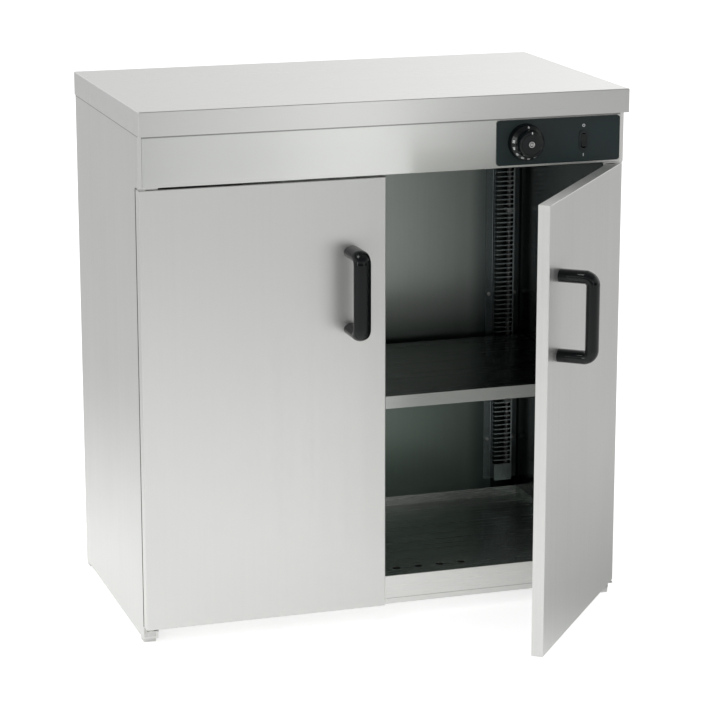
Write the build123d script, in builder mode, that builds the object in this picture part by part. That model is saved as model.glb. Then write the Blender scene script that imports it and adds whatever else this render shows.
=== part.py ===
from build123d import *
import os

# Two-door plate warmer cabinet, folded from stainless sheet. All sizes are in millimetres.
# Frame: +Z up, the doors face -Y, and the origin is on the floor under the middle of the worktop.
# The right door stands open at rest, so its pieces are made shut and then swung about their pivots.

os.makedirs("parts", exist_ok=True)

# ---------------------------------------------------------------- driving dimensions

cabinet_width = 800.0            # over the worktop
cabinet_depth = 460.0            # over the worktop
cabinet_height = 855.0           # floor to the top of the worktop
sheet = 1.0                      # outer stainless sheet
lining = 0.8                     # sheet of the inner lining
screw_radius = 1.5               # shank of the small screws
screw_clearance = 0.1            # radial, shank in its hole
screw_head_radius = 3.0
screw_head_height = 2.0

worktop_skirt = 38.0             # height of the folded-down edge
worktop_edge_radius = 1.4
worktop_hem = 12.0               # fold under the front skirt
brace_width = 50.0
brace_height = 15.0
brace_flange = 15.0
brace_end_gap = 24.0
front_overhang = 18.0            # worktop in front of the door fronts
side_overhang = 1.5
rear_overhang = 1.5

foot_height = 5.0                # floor to the lower edge of the side panels
foot_width = 20.0
foot_plug_height = 14.0
foot_play = 0.2                  # plug inside the post

post_width = 24.0                # front frame beside the opening
post_return = 12.0
strip_width = 6.5                # edge of the side panel beside the fascia
side_flange = 15.0               # folds along the top, bottom and rear of a side panel
fascia_height = 82.0
fascia_play = 0.3                # each end of the fascia
fascia_top_flange = 15.0
fascia_shelf = 52.0              # depth of the fold under the controls

door_thickness = 19.0
door_bottom = 26.0               # floor to door
door_top_gap = 3.0
door_side_inset = 0.5            # door edge inside the side panel's face
door_middle_gap = 3.0
door_body_gap = 2.5              # door back to the front frame
door_edge_radius = 1.5
liner_play = 0.2
right_door_angle = 51.4          # how far the right door stands open

pivot_inset = 7.0                # from the door's edge and from its front
pin_radius = 3.0
pin_length = 8.0
pin_play = 0.05                  # radial running clearance
bush_radius = 5.0
bush_flange_radius = 6.6
bush_flange = 0.7
bush_length = 10.0
hinge_plate = 2.0
hinge_plate_width = 32.0
lower_hinge_width = 20.0
lower_hinge_leg = 14.0

handle_from_edge = 56.0          # handle's middle line to the door's free edge
handle_below_top = 178.0         # door's top edge to the middle of the handle
handle_leg_spacing = 124.0
handle_projection = 62.0
handle_width = 28.0              # across the oval section
handle_section = 20.5            # depth of the grip, and height of each leg
handle_bend_radius = 12.0
handle_screw_radius = 2.0
handle_screw_depth = 15.0        # into the leg
handle_head_radius = 4.0
handle_head_height = 1.6
stiffener_width = 40.0
stiffener_end_gap = 14.0

magnet_length = 60.0
magnet_height = 24.0
magnet_thickness = 1.6
magnet_from_edge = 12.0
magnet_from_bottom = 10.0

rear_space = 55.5                # inner rear wall's face to the rear panel's
floor_top = 68.3                 # upper face of the bottom tray
tray_play = 0.1
tray_upstand = 17.0
apron_height = 47.3
apron_hem_height = 9.0
apron_hem = 0.8
vent_hole_radius = 6.25
vent_hole_pitch = 37.2
vent_hole_count = 9
vent_row_from_front = 35.5       # row of holes behind the apron's face
base_flange = 10.0
rivet_radius = 1.6
rivet_head_radius = 3.0
rivet_head_height = 1.2
rivet_spacing = 156.0
rivet_above_floor = 11.5

shelf_above_floor = 300.7        # between the upper faces of the tray and the shelf
shelf_lip = 21.0
shelf_side_play = 2.0
shelf_front_setback = 8.5        # behind the front frame
shelf_guard_gap = 3.0
shelf_edge_radius = 1.5
shelf_lift = 30.0                # used for the length of travel when it is lifted out
ledge_width = 12.0
ledge_height = 12.0
ledge_length = 300.0
ledge_screw_spacing = 240.0

guard_from_wall = 50.2           # inner wall to the guard's far side
guard_width = 34.0
guard_depth = 19.0
guard_flange = 14.0
guard_bend_radius = 1.3
guard_bottom_gap = 34.7          # above the cabinet's floor
guard_top_gap = 8.0
slot_height = 6.0
slot_pitch = 8.1
slot_low_margin = 33.0           # guard's lower end to the lowest slot
slot_high_margin = 46.0
slot_wrap = 12.0                 # how far a slot runs round the corner
slot_end_margin = 4.0
guard_screw_low = 73.0           # above the guard's lower end
guard_screw_high = 23.0          # below its upper end

element_radius = 4.0
element_from_side = 8.0          # guard's far side to the element's middle
element_end_gap = 13.0           # guard's lower end to the element's closed end
element_end_round = 2.5
element_above_ceiling = 14.0
element_play = 0.1
element_head_radius = 6.0        # insulator on its upper end, which holds both studs
element_head_height = 10.0
element_stud_spacing = 6.4
element_stud_radius = 1.3
element_stud_length = 10.0
support_width = 11.0
support_height = 6.0
support_end_gap = 140.0          # from each end of the guard
flange_plate_width = 38.0
flange_plate_depth = 16.0
flange_plate = 2.0

panel_width = 209.5
panel_height = 72.0
panel_thickness = 2.0
panel_corner = 5.0
panel_from_side = 112.3          # side panel's face to the middle of the control panel
panel_above_edge = 4.0           # fascia's lower edge to the control panel's
knob_offset = 56.7               # left of the panel's middle
knob_rise = 0.5
switch_offset = 42.6             # right of the panel's middle
switch_drop = 2.3

knob_base_radius = 29.5
knob_skirt_radius = 27.8
knob_skirt_depth = 11.0
knob_grip_radius = 22.0
knob_grip_tip_radius = 20.6
knob_shoulder_depth = 16.0
knob_depth = 30.0
knob_dish = 1.2
knob_dish_radius = 16.0
knob_panel_gap = 0.4
knob_wall = 2.4
knob_boss_radius = 7.0
knob_insert_radius = 5.0
knob_insert_depth = 1.6
spindle_radius = 3.0
spindle_in_knob = 16.0
spindle_in_body = 18.0
thermostat_size = 36.0
thermostat_depth = 30.0
thermostat_neck_radius = 5.5
neck_play = 0.1
bulb_radius = 3.0
bulb_length = 90.0
capillary_radius = 1.0
capillary_bend = 10.0
capillary_drop_y = 30.0          # from the thermostat's rear to where the tube turns down
bulb_below_ceiling = 8.0
bulb_clip_width = 10.0
bulb_clip_length = 8.0

bezel_width = 15.5
bezel_height = 33.0
bezel_thickness = 1.5
bezel_corner = 6.5
switch_body_width = 13.0
switch_body_height = 28.0
switch_body_depth = 24.0
cutout_play = 0.1
rocker_well_width = 10.4
rocker_well_height = 24.4
rocker_well_depth = 13.0
rocker_width = 9.8
rocker_radius = 11.7
rocker_pivot_depth = 4.5         # pivot behind the bezel's face
rocker_tip = 6.5                 # the rocker's ends in front of its pivot
rocker_valley = 4.4
rocker_back = 4.0
rocker_end_trim = 0.5            # off the rounded ends, which keeps them inside the rocker's sweep
rocker_tilt = 7.0
rocker_pin_radius = 1.2
rocker_pin_length = 12.0
blade_width = 6.3
blade_thickness = 0.8
blade_length = 9.0
blade_spacing = 8.0
thermostat_blade_spacing = 16.0
thermostat_blade_rise = 8.0

terminal_x = 60.0
terminal_y = -60.0
terminal_length = 62.0
terminal_depth = 20.0
terminal_height = 17.0
terminal_count = 5
wire_radius = 1.2
wire_bend = 6.0
wire_gap = 6.0                   # between wires that run side by side
wire_level = 8.0                 # above the terminal block's foot

gland_from_side = 98.5
gland_below_top = 83.0
gland_bore_radius = 4.5
gland_thread_radius = 8.0
gland_hex = 22.0                 # across flats
gland_hex_depth = 5.0
gland_dome_radius = 9.5
gland_dome_depth = 9.0
gland_inside = 12.0
gland_nut_depth = 5.0
vent_slot_length = 40.0
vent_slot_width = 4.0
vent_slot_rows = 6
vent_slot_pitch = 10.0
rear_vent_x = 200.0
rear_vent_below_top = 215.0
rear_screw_inset = 8.0
rear_screw_end = 55.0            # from the lower and upper edges
rear_screw_rows = 4

# ---------------------------------------------------------------- places that follow from them

front_y = -cabinet_depth / 2
door_front_y = front_y + front_overhang
door_back_y = door_front_y + door_thickness
body_front_y = door_back_y + door_body_gap
rear_y = cabinet_depth / 2 - rear_overhang
side_x = cabinet_width / 2 - side_overhang
worktop_underside = cabinet_height - sheet
skirt_bottom = cabinet_height - worktop_skirt
fascia_bottom = skirt_bottom - fascia_height
panel_bottom = foot_height
ceiling_bottom = fascia_bottom + sheet
door_top = fascia_bottom - door_top_gap
door_height = door_top - door_bottom
handle_centre_height = door_top - handle_below_top
shelf_top = floor_top + shelf_above_floor
door_hinge_x = side_x - door_side_inset
door_free_x = door_middle_gap / 2
pivot_x = door_hinge_x - pivot_inset
pivot_y = door_front_y + pivot_inset
right_pivot = Axis((pivot_x, pivot_y, 0), (0, 0, 1))
inner_half_width = side_x - post_width - lining
inner_back = rear_y - rear_space
handle_x = -door_free_x - handle_from_edge
handle_screw_spots = [(handle_x, handle_centre_height + side * handle_leg_spacing / 2) for side in (-1, 1)]
guard_front_y = inner_back - guard_depth
guard_top = fascia_bottom - guard_top_gap
guard_bottom = floor_top + guard_bottom_gap
guard_inner_edge = inner_half_width - guard_from_wall
guard_outer_edge = guard_inner_edge + guard_width
element_x = guard_outer_edge - element_from_side
element_y = inner_back - guard_depth / 2
panel_centre_x = side_x - panel_from_side
panel_centre_height = fascia_bottom + panel_above_edge + panel_height / 2
knob_x = panel_centre_x - knob_offset
knob_height = panel_centre_height + knob_rise
switch_x = panel_centre_x + switch_offset
switch_height = panel_centre_height - switch_drop
panel_front_y = door_front_y - panel_thickness
bezel_front_y = panel_front_y - bezel_thickness
screw_hole_radius = screw_radius + screw_clearance
rear_screw_low = panel_bottom + rear_screw_end
rear_screw_step = (worktop_underside - rear_screw_end - rear_screw_low) / (rear_screw_rows - 1)
rear_screw_heights = [rear_screw_low + row * rear_screw_step for row in range(rear_screw_rows)]
gland_x = side_x - gland_from_side
gland_height = cabinet_height - gland_below_top
rear_vent_height = cabinet_height - rear_vent_below_top


def front_plane(x, z, y):
    """A plane that faces the front, at the point x, y, z, with its own Y axis pointing up."""
    return Plane(origin=(x, y, z), x_dir=(1, 0, 0), z_dir=(0, -1, 0))


def folded(points, thickness, plane):
    """Section of a folded sheet: the line inside its bends, thickened outwards with round bends."""
    with BuildSketch(plane) as section:
        with BuildLine():
            Polyline(*points)
            offset(amount=thickness, side=Side.RIGHT)
        make_face()
    return section.sketch


def pan_screw(plane, length):
    """A pan-head screw with its head on the plane's outer side and its shank behind the plane."""
    with BuildPart() as screw:
        with BuildSketch(plane):
            Circle(screw_head_radius)
        extrude(amount=screw_head_height, taper=12)
        with BuildSketch(plane):
            Circle(screw_radius)
        extrude(amount=-length)
    return screw.part


def mirrored(piece):
    """The same piece on the other side of the cabinet."""
    with BuildPart() as other_side:
        mirror(piece, about=Plane.YZ)
    return other_side.part


# ---------------------------------------------------------------- worktop

with BuildPart() as worktop:
    with BuildSketch(Plane.XY.offset(skirt_bottom)):
        Rectangle(cabinet_width, cabinet_depth)
    extrude(amount=worktop_skirt)
    fillet(worktop.edges().filter_by(Axis.Z), worktop_edge_radius)
    fillet(worktop.edges().group_by(Axis.Z)[-1], worktop_edge_radius)
    offset(amount=-sheet, openings=worktop.faces().sort_by(Axis.Z)[0])
    with BuildSketch(Plane.XY.offset(skirt_bottom)):
        with Locations((0, front_y + (sheet + worktop_hem) / 2)):
            Rectangle(cabinet_width - 2 * worktop_edge_radius - 2 * sheet, worktop_hem - sheet)
    extrude(amount=sheet)
worktop.part.label = "worktop"
export_step(worktop.part, "parts/worktop.step")

brace_bottom = worktop_underside - brace_height
brace_section = [
    (-brace_width / 2 - brace_flange, worktop_underside),
    (-brace_width / 2, worktop_underside),
    (-brace_width / 2, brace_bottom + sheet),
    (brace_width / 2, brace_bottom + sheet),
    (brace_width / 2, worktop_underside),
    (brace_width / 2 + brace_flange, worktop_underside),
]
brace_half = side_x - brace_end_gap
with BuildPart() as worktop_brace:
    extrude(folded(brace_section, sheet, Plane.YZ.offset(-brace_half)), amount=2 * brace_half)
worktop_brace.part.label = "worktop_brace"
export_step(worktop_brace.part, "parts/worktop_brace.step")

# ---------------------------------------------------------------- side panels

lower_plan = [
    (side_x - post_width + sheet, body_front_y + post_return),
    (side_x - post_width + sheet, body_front_y + sheet),
    (side_x - sheet, body_front_y + sheet),
    (side_x - sheet, rear_y - 2 * sheet),
    (side_x - side_flange, rear_y - 2 * sheet),
]
upper_plan = [
    (side_x - strip_width, door_front_y + sheet),
    (side_x - sheet, door_front_y + sheet),
    (side_x - sheet, rear_y - 2 * sheet),
    (side_x - side_flange, rear_y - 2 * sheet),
]
with BuildPart() as right_side_panel:
    extrude(folded(lower_plan, sheet, Plane.XY.offset(panel_bottom)), amount=fascia_bottom - panel_bottom)
    upper_height = worktop_underside - fascia_bottom
    extrude(folded(upper_plan, sheet, Plane.XY.offset(fascia_bottom)), amount=upper_height)
    # folds along the top and the bottom edge
    for fold_bottom in (panel_bottom, worktop_underside - sheet):
        with BuildSketch(Plane.XY.offset(fold_bottom)):
            with Locations((side_x - side_flange, body_front_y + sheet)):
                Rectangle(side_flange - sheet, rear_y - 2 * sheet - body_front_y - sheet,
                          align=(Align.MIN, Align.MIN))
            # the feet's plugs come up past the ends of the bottom fold
            fold_cut = foot_width + post_return
            with Locations((side_x - side_flange, body_front_y + sheet)):
                Rectangle(side_flange, fold_cut, align=(Align.MIN, Align.MIN), mode=Mode.SUBTRACT)
            with Locations((side_x - side_flange, rear_y - 2 * sheet)):
                Rectangle(side_flange, fold_cut, align=(Align.MIN, Align.MAX), mode=Mode.SUBTRACT)
        extrude(amount=sheet)
    with BuildSketch(front_plane(side_x - rear_screw_inset, 0, rear_y)):
        with Locations(*[(0, height) for height in rear_screw_heights]):
            Circle(screw_hole_radius)
    extrude(amount=3 * sheet, mode=Mode.SUBTRACT)
right_side_panel.part.label = "right_side_panel"
export_step(right_side_panel.part, "parts/right_side_panel.step")

with BuildPart() as left_side_panel:
    mirror(right_side_panel.part, about=Plane.YZ)
left_side_panel.part.label = "left_side_panel"
export_step(left_side_panel.part, "parts/left_side_panel.step")

# ---------------------------------------------------------------- rear panel and its screws

rear_screw_spots = [
    (side * (side_x - rear_screw_inset), height) for side in (-1, 1) for height in rear_screw_heights
]
with BuildPart() as rear_panel:
    with BuildSketch(front_plane(0, panel_bottom, rear_y)):
        Rectangle(2 * side_x, worktop_underside - panel_bottom, align=(Align.CENTER, Align.MIN))
        with Locations(*[(x, z - panel_bottom) for x, z in rear_screw_spots]):
            Circle(screw_hole_radius, mode=Mode.SUBTRACT)
        with Locations((gland_x, gland_height - panel_bottom)):
            Circle(gland_thread_radius, mode=Mode.SUBTRACT)
        for side in (-1, 1):
            with Locations((side * rear_vent_x, rear_vent_height - panel_bottom)):
                with GridLocations(0, vent_slot_pitch, 1, vent_slot_rows):
                    SlotOverall(vent_slot_length, vent_slot_width, mode=Mode.SUBTRACT)
    extrude(amount=sheet)
rear_panel.part.label = "rear_panel"
export_step(rear_panel.part, "parts/rear_panel.step")

with BuildPart() as rear_screws:
    for x, z in rear_screw_spots:
        add(pan_screw(Plane(origin=(x, rear_y, z), z_dir=(0, 1, 0)), 4 * sheet))
rear_screws.part.label = "rear_screws"
export_step(rear_screws.part, "parts/rear_screws.step")

# ---------------------------------------------------------------- feet

with BuildPart() as feet:
    for side in (-1, 1):
        for y_edge, into in ((body_front_y, 1), (rear_y - sheet, -1)):
            foot_x = side * (side_x - foot_width / 2)
            foot_y = y_edge + into * foot_width / 2
            with BuildSketch():
                with Locations((foot_x, foot_y)):
                    RectangleRounded(foot_width, foot_width, 2)
            extrude(amount=foot_height)
            plug = foot_width - 2 * sheet - 2 * foot_play
            with BuildSketch(Plane.XY.offset(foot_height)):
                with Locations((foot_x, foot_y)):
                    RectangleRounded(plug, plug, 2)
            extrude(amount=foot_plug_height)
feet.part.label = "feet"
export_step(feet.part, "parts/feet.step")

# ---------------------------------------------------------------- fascia

fascia_half = side_x - strip_width - fascia_play
fascia_section = [
    (door_front_y + fascia_top_flange, worktop_underside - sheet),
    (door_front_y + sheet, worktop_underside - sheet),
    (door_front_y + sheet, fascia_bottom + sheet),
    (door_front_y + fascia_shelf, fascia_bottom + sheet),
]
with BuildPart() as fascia:
    extrude(folded(fascia_section, sheet, Plane.YZ.offset(-fascia_half)), amount=2 * fascia_half)
    with BuildSketch(front_plane(0, 0, door_front_y)):
        with Locations((knob_x, knob_height)):
            Circle(thermostat_neck_radius + neck_play)
        with Locations((switch_x, switch_height)):
            Rectangle(switch_body_width + 2 * cutout_play, switch_body_height + 2 * cutout_play)
    extrude(amount=-2 * sheet, mode=Mode.SUBTRACT)
fascia.part.label = "fascia"
export_step(fascia.part, "parts/fascia.step")

# ---------------------------------------------------------------- inner lining

wall_bottom = floor_top - lining
wall_front_y = body_front_y + sheet
wall_length = inner_back + lining - wall_front_y
wall_height = ceiling_bottom - wall_bottom
rivet_z = floor_top + rivet_above_floor
guard_screw_middle = (guard_bottom + guard_screw_low + guard_top - guard_screw_high) / 2
guard_screw_heights = (guard_bottom + guard_screw_low, guard_screw_middle, guard_top - guard_screw_high)
element_spots = [(side * element_x, element_y) for side in (-1, 1)]
guard_screw_spots = [
    (side * x, z)
    for side in (-1, 1)
    for x in (guard_inner_edge - guard_flange / 2, guard_outer_edge + guard_flange / 2)
    for z in guard_screw_heights
]
ledge_y = (body_front_y + shelf_front_setback + guard_front_y) / 2
ledge_screw_z = shelf_top - shelf_lip - ledge_height / 2

with BuildPart() as right_inner_wall:
    with BuildSketch(Plane.YZ.offset(inner_half_width)):
        with Locations((wall_front_y, wall_bottom)):
            Rectangle(wall_length, wall_height, align=(Align.MIN, Align.MIN))
        # the fascia's lower fold lies in this corner
        with Locations((door_front_y, fascia_bottom)):
            Rectangle(fascia_shelf, ceiling_bottom, align=(Align.MIN, Align.MIN), mode=Mode.SUBTRACT)
        with Locations((ledge_y, ledge_screw_z)):
            with GridLocations(ledge_screw_spacing, 0, 2, 1):
                Circle(screw_hole_radius, mode=Mode.SUBTRACT)
        with Locations((0, rivet_z)):
            with GridLocations(rivet_spacing, 0, 2, 1):
                Circle(rivet_radius + screw_clearance, mode=Mode.SUBTRACT)
    extrude(amount=lining)
right_inner_wall.part.label = "right_inner_wall"
export_step(right_inner_wall.part, "parts/right_inner_wall.step")

with BuildPart() as left_inner_wall:
    mirror(right_inner_wall.part, about=Plane.YZ)
left_inner_wall.part.label = "left_inner_wall"
export_step(left_inner_wall.part, "parts/left_inner_wall.step")

with BuildPart() as inner_rear_wall:
    with BuildSketch(front_plane(0, wall_bottom, inner_back)):
        Rectangle(2 * inner_half_width, wall_height, align=(Align.CENTER, Align.MIN))
        with Locations(*[(x, z - wall_bottom) for x, z in guard_screw_spots]):
            Circle(screw_hole_radius, mode=Mode.SUBTRACT)
    extrude(amount=-lining)
inner_rear_wall.part.label = "inner_rear_wall"
export_step(inner_rear_wall.part, "parts/inner_rear_wall.step")

thermostat_rear_y = door_front_y + sheet + thermostat_depth
capillary_x = knob_x + thermostat_size / 4
capillary_z = knob_height - thermostat_size / 4
bulb_z = ceiling_bottom - bulb_below_ceiling
bulb_start_y = thermostat_rear_y + capillary_drop_y + capillary_bend

with BuildPart() as inner_ceiling:
    with BuildSketch(Plane.XY.offset(ceiling_bottom)):
        with Locations((0, wall_front_y)):
            Rectangle(2 * (inner_half_width + lining), wall_length, align=(Align.CENTER, Align.MIN))
        with Locations(*element_spots):
            Circle(element_radius + element_play, mode=Mode.SUBTRACT)
        with Locations((capillary_x, thermostat_rear_y + capillary_drop_y)):
            Circle(2.5 * capillary_radius, mode=Mode.SUBTRACT)
    extrude(amount=lining)
inner_ceiling.part.label = "inner_ceiling"
export_step(inner_ceiling.part, "parts/inner_ceiling.step")

# ---------------------------------------------------------------- bottom tray with its vent holes

tray_half = inner_half_width - tray_play
tray_section = [
    (inner_back, floor_top + tray_upstand),
    (inner_back, floor_top - lining),
    (body_front_y + lining, floor_top - lining),
    (body_front_y + lining, floor_top - apron_height),
]
with BuildPart() as bottom_tray:
    extrude(folded(tray_section, lining, Plane.YZ.offset(-tray_half)), amount=2 * tray_half)
    with BuildSketch(Plane.YZ.offset(-tray_half)):
        with Locations((body_front_y, floor_top - apron_height)):
            Rectangle(apron_hem, apron_hem_height, align=(Align.MAX, Align.MIN))
    extrude(amount=2 * tray_half)
    for side in (-1, 1):
        with BuildSketch(Plane.XY.offset(floor_top)):
            with Locations((side * (tray_half - lining / 2), wall_front_y + post_return)):
                Rectangle(lining, inner_back - lining - wall_front_y - post_return,
                          align=(Align.CENTER, Align.MIN))
        extrude(amount=tray_upstand)
    with BuildSketch(Plane.XY.offset(floor_top)):
        with Locations((0, body_front_y + vent_row_from_front)):
            with GridLocations(vent_hole_pitch, 0, vent_hole_count, 1):
                Circle(vent_hole_radius)
    extrude(amount=-2 * lining, mode=Mode.SUBTRACT)
    with BuildSketch(Plane.YZ):
        with Locations((0, rivet_z)):
            with GridLocations(rivet_spacing, 0, 2, 1):
                Circle(rivet_radius + screw_clearance)
    extrude(amount=inner_half_width, both=True, mode=Mode.SUBTRACT)
bottom_tray.part.label = "bottom_tray"
export_step(bottom_tray.part, "parts/bottom_tray.step")

rivet_seat = tray_half - lining
with BuildPart() as tray_rivets:
    for side in (-1, 1):
        for y in (-rivet_spacing / 2, rivet_spacing / 2):
            head_plane = Plane(origin=(side * rivet_seat, y, rivet_z), z_dir=(-side, 0, 0))
            with BuildPart(mode=Mode.PRIVATE) as rivet:
                with BuildSketch(head_plane):
                    Circle(rivet_head_radius)
                extrude(amount=rivet_head_height)
                fillet(rivet.edges().sort_by(Axis.X)[0 if side > 0 else -1], rivet_head_height * 0.8)
                with BuildSketch(head_plane):
                    Circle(rivet_radius)
                extrude(amount=-(2 * lining + tray_play + rivet_head_height))
            add(rivet.part)
tray_rivets.part.label = "tray_rivets"
export_step(tray_rivets.part, "parts/tray_rivets.step")

# ---------------------------------------------------------------- base panel under the tray

base_z = floor_top - apron_height
base_section = [
    (rear_y - sheet, base_z + base_flange),
    (rear_y - sheet, base_z),
    (body_front_y + lining, base_z),
    (body_front_y + lining, base_z + base_flange),
]
with BuildPart() as base_panel:
    extrude(folded(base_section, sheet, Plane.YZ.offset(-tray_half)), amount=2 * tray_half)
base_panel.part.label = "base_panel"
export_step(base_panel.part, "parts/base_panel.step")

# ---------------------------------------------------------------- slotted guards over the heating elements

guard_plan = [
    (guard_outer_edge + guard_flange, inner_back - lining),
    (guard_outer_edge, inner_back - lining),
    (guard_outer_edge, guard_front_y),
    (guard_inner_edge, guard_front_y),
    (guard_inner_edge, inner_back - lining),
    (guard_inner_edge - guard_flange, inner_back - lining),
]
with BuildPart() as right_heater_guard:
    with BuildSketch(Plane.XY.offset(guard_bottom)):
        with BuildLine():
            FilletPolyline(*guard_plan, radius=guard_bend_radius)
            offset(amount=lining, side=Side.RIGHT)
        make_face()
    extrude(amount=guard_top - guard_bottom)
    # each slot starts on the inboard side, runs round the bend and stops short of the outboard one
    slot_space = guard_top - guard_bottom - slot_low_margin - slot_high_margin
    slot_steps = int(slot_space / slot_pitch)
    slot_middle_z = guard_bottom + slot_low_margin + slot_pitch * slot_steps / 2
    with BuildSketch(front_plane(guard_inner_edge, slot_middle_z, guard_front_y)):
        with GridLocations(0, slot_pitch, 1, slot_steps + 1):
            Rectangle(2 * (guard_width - slot_end_margin), slot_height)
    extrude(amount=-slot_wrap, mode=Mode.SUBTRACT)
    with BuildSketch(front_plane(0, 0, inner_back)):
        with Locations(*[spot for spot in guard_screw_spots if spot[0] > 0]):
            Circle(screw_hole_radius)
    extrude(amount=2 * lining, mode=Mode.SUBTRACT)
right_heater_guard.part.label = "right_heater_guard"
export_step(right_heater_guard.part, "parts/right_heater_guard.step")

with BuildPart() as left_heater_guard:
    mirror(right_heater_guard.part, about=Plane.YZ)
left_heater_guard.part.label = "left_heater_guard"
export_step(left_heater_guard.part, "parts/left_heater_guard.step")

with BuildPart() as guard_screws:
    for x, z in guard_screw_spots:
        add(pan_screw(front_plane(x, z, inner_back - lining), 3 * lining))
guard_screws.part.label = "guard_screws"
export_step(guard_screws.part, "parts/guard_screws.step")

# ---------------------------------------------------------------- heating elements

element_top = ceiling_bottom + lining + element_above_ceiling
element_bottom = guard_bottom + element_end_gap
element_head_top = element_top + element_head_height
with BuildPart() as right_heating_element:
    with BuildSketch(Plane.XY.offset(element_bottom)):
        with Locations((element_x, element_y)):
            Circle(element_radius)
    extrude(amount=element_top - element_bottom)
    fillet(right_heating_element.edges().sort_by(Axis.Z)[0], element_end_round)
    with BuildSketch(Plane.XY.offset(element_top)):
        with Locations((element_x, element_y)):
            Circle(element_head_radius)
    extrude(amount=element_head_height)
    with BuildSketch(Plane.XY.offset(element_head_top)):
        with Locations((element_x, element_y)):
            with GridLocations(element_stud_spacing, 0, 2, 1):
                Circle(element_stud_radius)
    extrude(amount=element_stud_length)
right_heating_element.part.label = "right_heating_element"
export_step(right_heating_element.part, "parts/right_heating_element.step")

with BuildPart() as left_heating_element:
    mirror(right_heating_element.part, about=Plane.YZ)
left_heating_element.part.label = "left_heating_element"
export_step(left_heating_element.part, "parts/left_heating_element.step")

support_depth = guard_depth / 2 + element_radius + 2
with BuildPart() as element_supports:
    for side in (-1, 1):
        for height in (guard_bottom + support_end_gap, guard_top - support_end_gap):
            with BuildSketch(Plane.XY.offset(height)):
                with Locations((side * element_x, inner_back)):
                    Rectangle(support_width, support_depth, align=(Align.CENTER, Align.MAX))
                with Locations((side * element_x, element_y)):
                    Circle(element_radius + element_play, mode=Mode.SUBTRACT)
            extrude(amount=support_height)
element_supports.part.label = "element_supports"
export_step(element_supports.part, "parts/element_supports.step")

with BuildPart() as element_flanges:
    for side in (-1, 1):
        with BuildSketch(Plane.XY.offset(ceiling_bottom + lining)):
            with Locations((side * element_x, element_y)):
                RectangleRounded(flange_plate_width, flange_plate_depth, 3)
                Circle(element_radius + element_play, mode=Mode.SUBTRACT)
        extrude(amount=flange_plate)
element_flanges.part.label = "element_flanges"
export_step(element_flanges.part, "parts/element_flanges.step")

# ---------------------------------------------------------------- shelf and the ledges that carry it

shelf_front_y = body_front_y + shelf_front_setback
shelf_depth = guard_front_y - shelf_guard_gap - shelf_front_y
with BuildPart() as shelf:
    with BuildSketch(Plane.XY.offset(shelf_top - shelf_lip)):
        with Locations((0, shelf_front_y + shelf_depth / 2)):
            Rectangle(2 * (inner_half_width - shelf_side_play), shelf_depth)
    extrude(amount=shelf_lip)
    fillet(shelf.edges().group_by(Axis.Z)[-1], shelf_edge_radius)
    offset(amount=-sheet, openings=shelf.faces().sort_by(Axis.Z)[0])
shelf.part.label = "shelf"
export_step(shelf.part, "parts/shelf.step")

ledge_top = shelf_top - shelf_lip
ledge_section = [
    (inner_half_width - ledge_width, ledge_top - lining),
    (inner_half_width - lining, ledge_top - lining),
    (inner_half_width - lining, ledge_top - ledge_height),
]
with BuildPart() as shelf_ledges:
    ledge_plane = Plane(origin=(0, ledge_y - ledge_length / 2, 0), x_dir=(-1, 0, 0), z_dir=(0, 1, 0))
    ledge_line = [(-x, z) for x, z in ledge_section]
    extrude(folded(ledge_line, lining, ledge_plane), amount=ledge_length)
    with BuildSketch(Plane.YZ.offset(inner_half_width)):
        with Locations((ledge_y, ledge_screw_z)):
            with GridLocations(ledge_screw_spacing, 0, 2, 1):
                Circle(screw_hole_radius)
    extrude(amount=-2 * lining, mode=Mode.SUBTRACT)
    mirror(about=Plane.YZ)
shelf_ledges.part.label = "shelf_ledges"
export_step(shelf_ledges.part, "parts/shelf_ledges.step")

with BuildPart() as ledge_screws:
    for side in (-1, 1):
        for y in (ledge_y - ledge_screw_spacing / 2, ledge_y + ledge_screw_spacing / 2):
            seat = Plane(origin=(side * (inner_half_width - lining), y, ledge_screw_z), z_dir=(-side, 0, 0))
            add(pan_screw(seat, 3 * lining))
ledge_screws.part.label = "ledge_screws"
export_step(ledge_screws.part, "parts/ledge_screws.step")

# ---------------------------------------------------------------- door pivots

with BuildPart() as right_upper_hinge:
    with BuildSketch(Plane.XY.offset(fascia_bottom)):
        with Locations((door_hinge_x, pivot_y)):
            RectangleRounded(hinge_plate_width, 2 * (pivot_inset - sheet), 2, align=(Align.MAX, Align.CENTER))
    extrude(amount=-hinge_plate)
    with BuildSketch(Plane.XY.offset(fascia_bottom - hinge_plate)):
        with Locations((pivot_x, pivot_y)):
            Circle(pin_radius)
    extrude(amount=-pin_length)
    chamfer(right_upper_hinge.edges().group_by(Axis.Z)[0], pin_radius / 6)
right_upper_hinge.part.label = "right_upper_hinge"
export_step(right_upper_hinge.part, "parts/right_upper_hinge.step")

lower_plate_top = door_bottom - (door_top_gap - hinge_plate)
with BuildPart() as right_lower_hinge:
    lower_section = [
        (body_front_y - hinge_plate, lower_plate_top - hinge_plate - lower_hinge_leg),
        (body_front_y - hinge_plate, lower_plate_top - hinge_plate),
        (pivot_y - pivot_inset + sheet, lower_plate_top - hinge_plate),
    ]
    with BuildSketch(Plane.YZ.offset(side_x - lower_hinge_width)):
        with BuildLine():
            Polyline(*lower_section)
            offset(amount=hinge_plate, side=Side.RIGHT)
        make_face()
    extrude(amount=lower_hinge_width - door_side_inset)
    with BuildSketch(Plane.XY.offset(lower_plate_top)):
        with Locations((pivot_x, pivot_y)):
            Circle(pin_radius)
    extrude(amount=pin_length)
    chamfer(right_lower_hinge.edges().group_by(Axis.Z)[-1], pin_radius / 6)
right_lower_hinge.part.label = "right_lower_hinge"
export_step(right_lower_hinge.part, "parts/right_lower_hinge.step")

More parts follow.
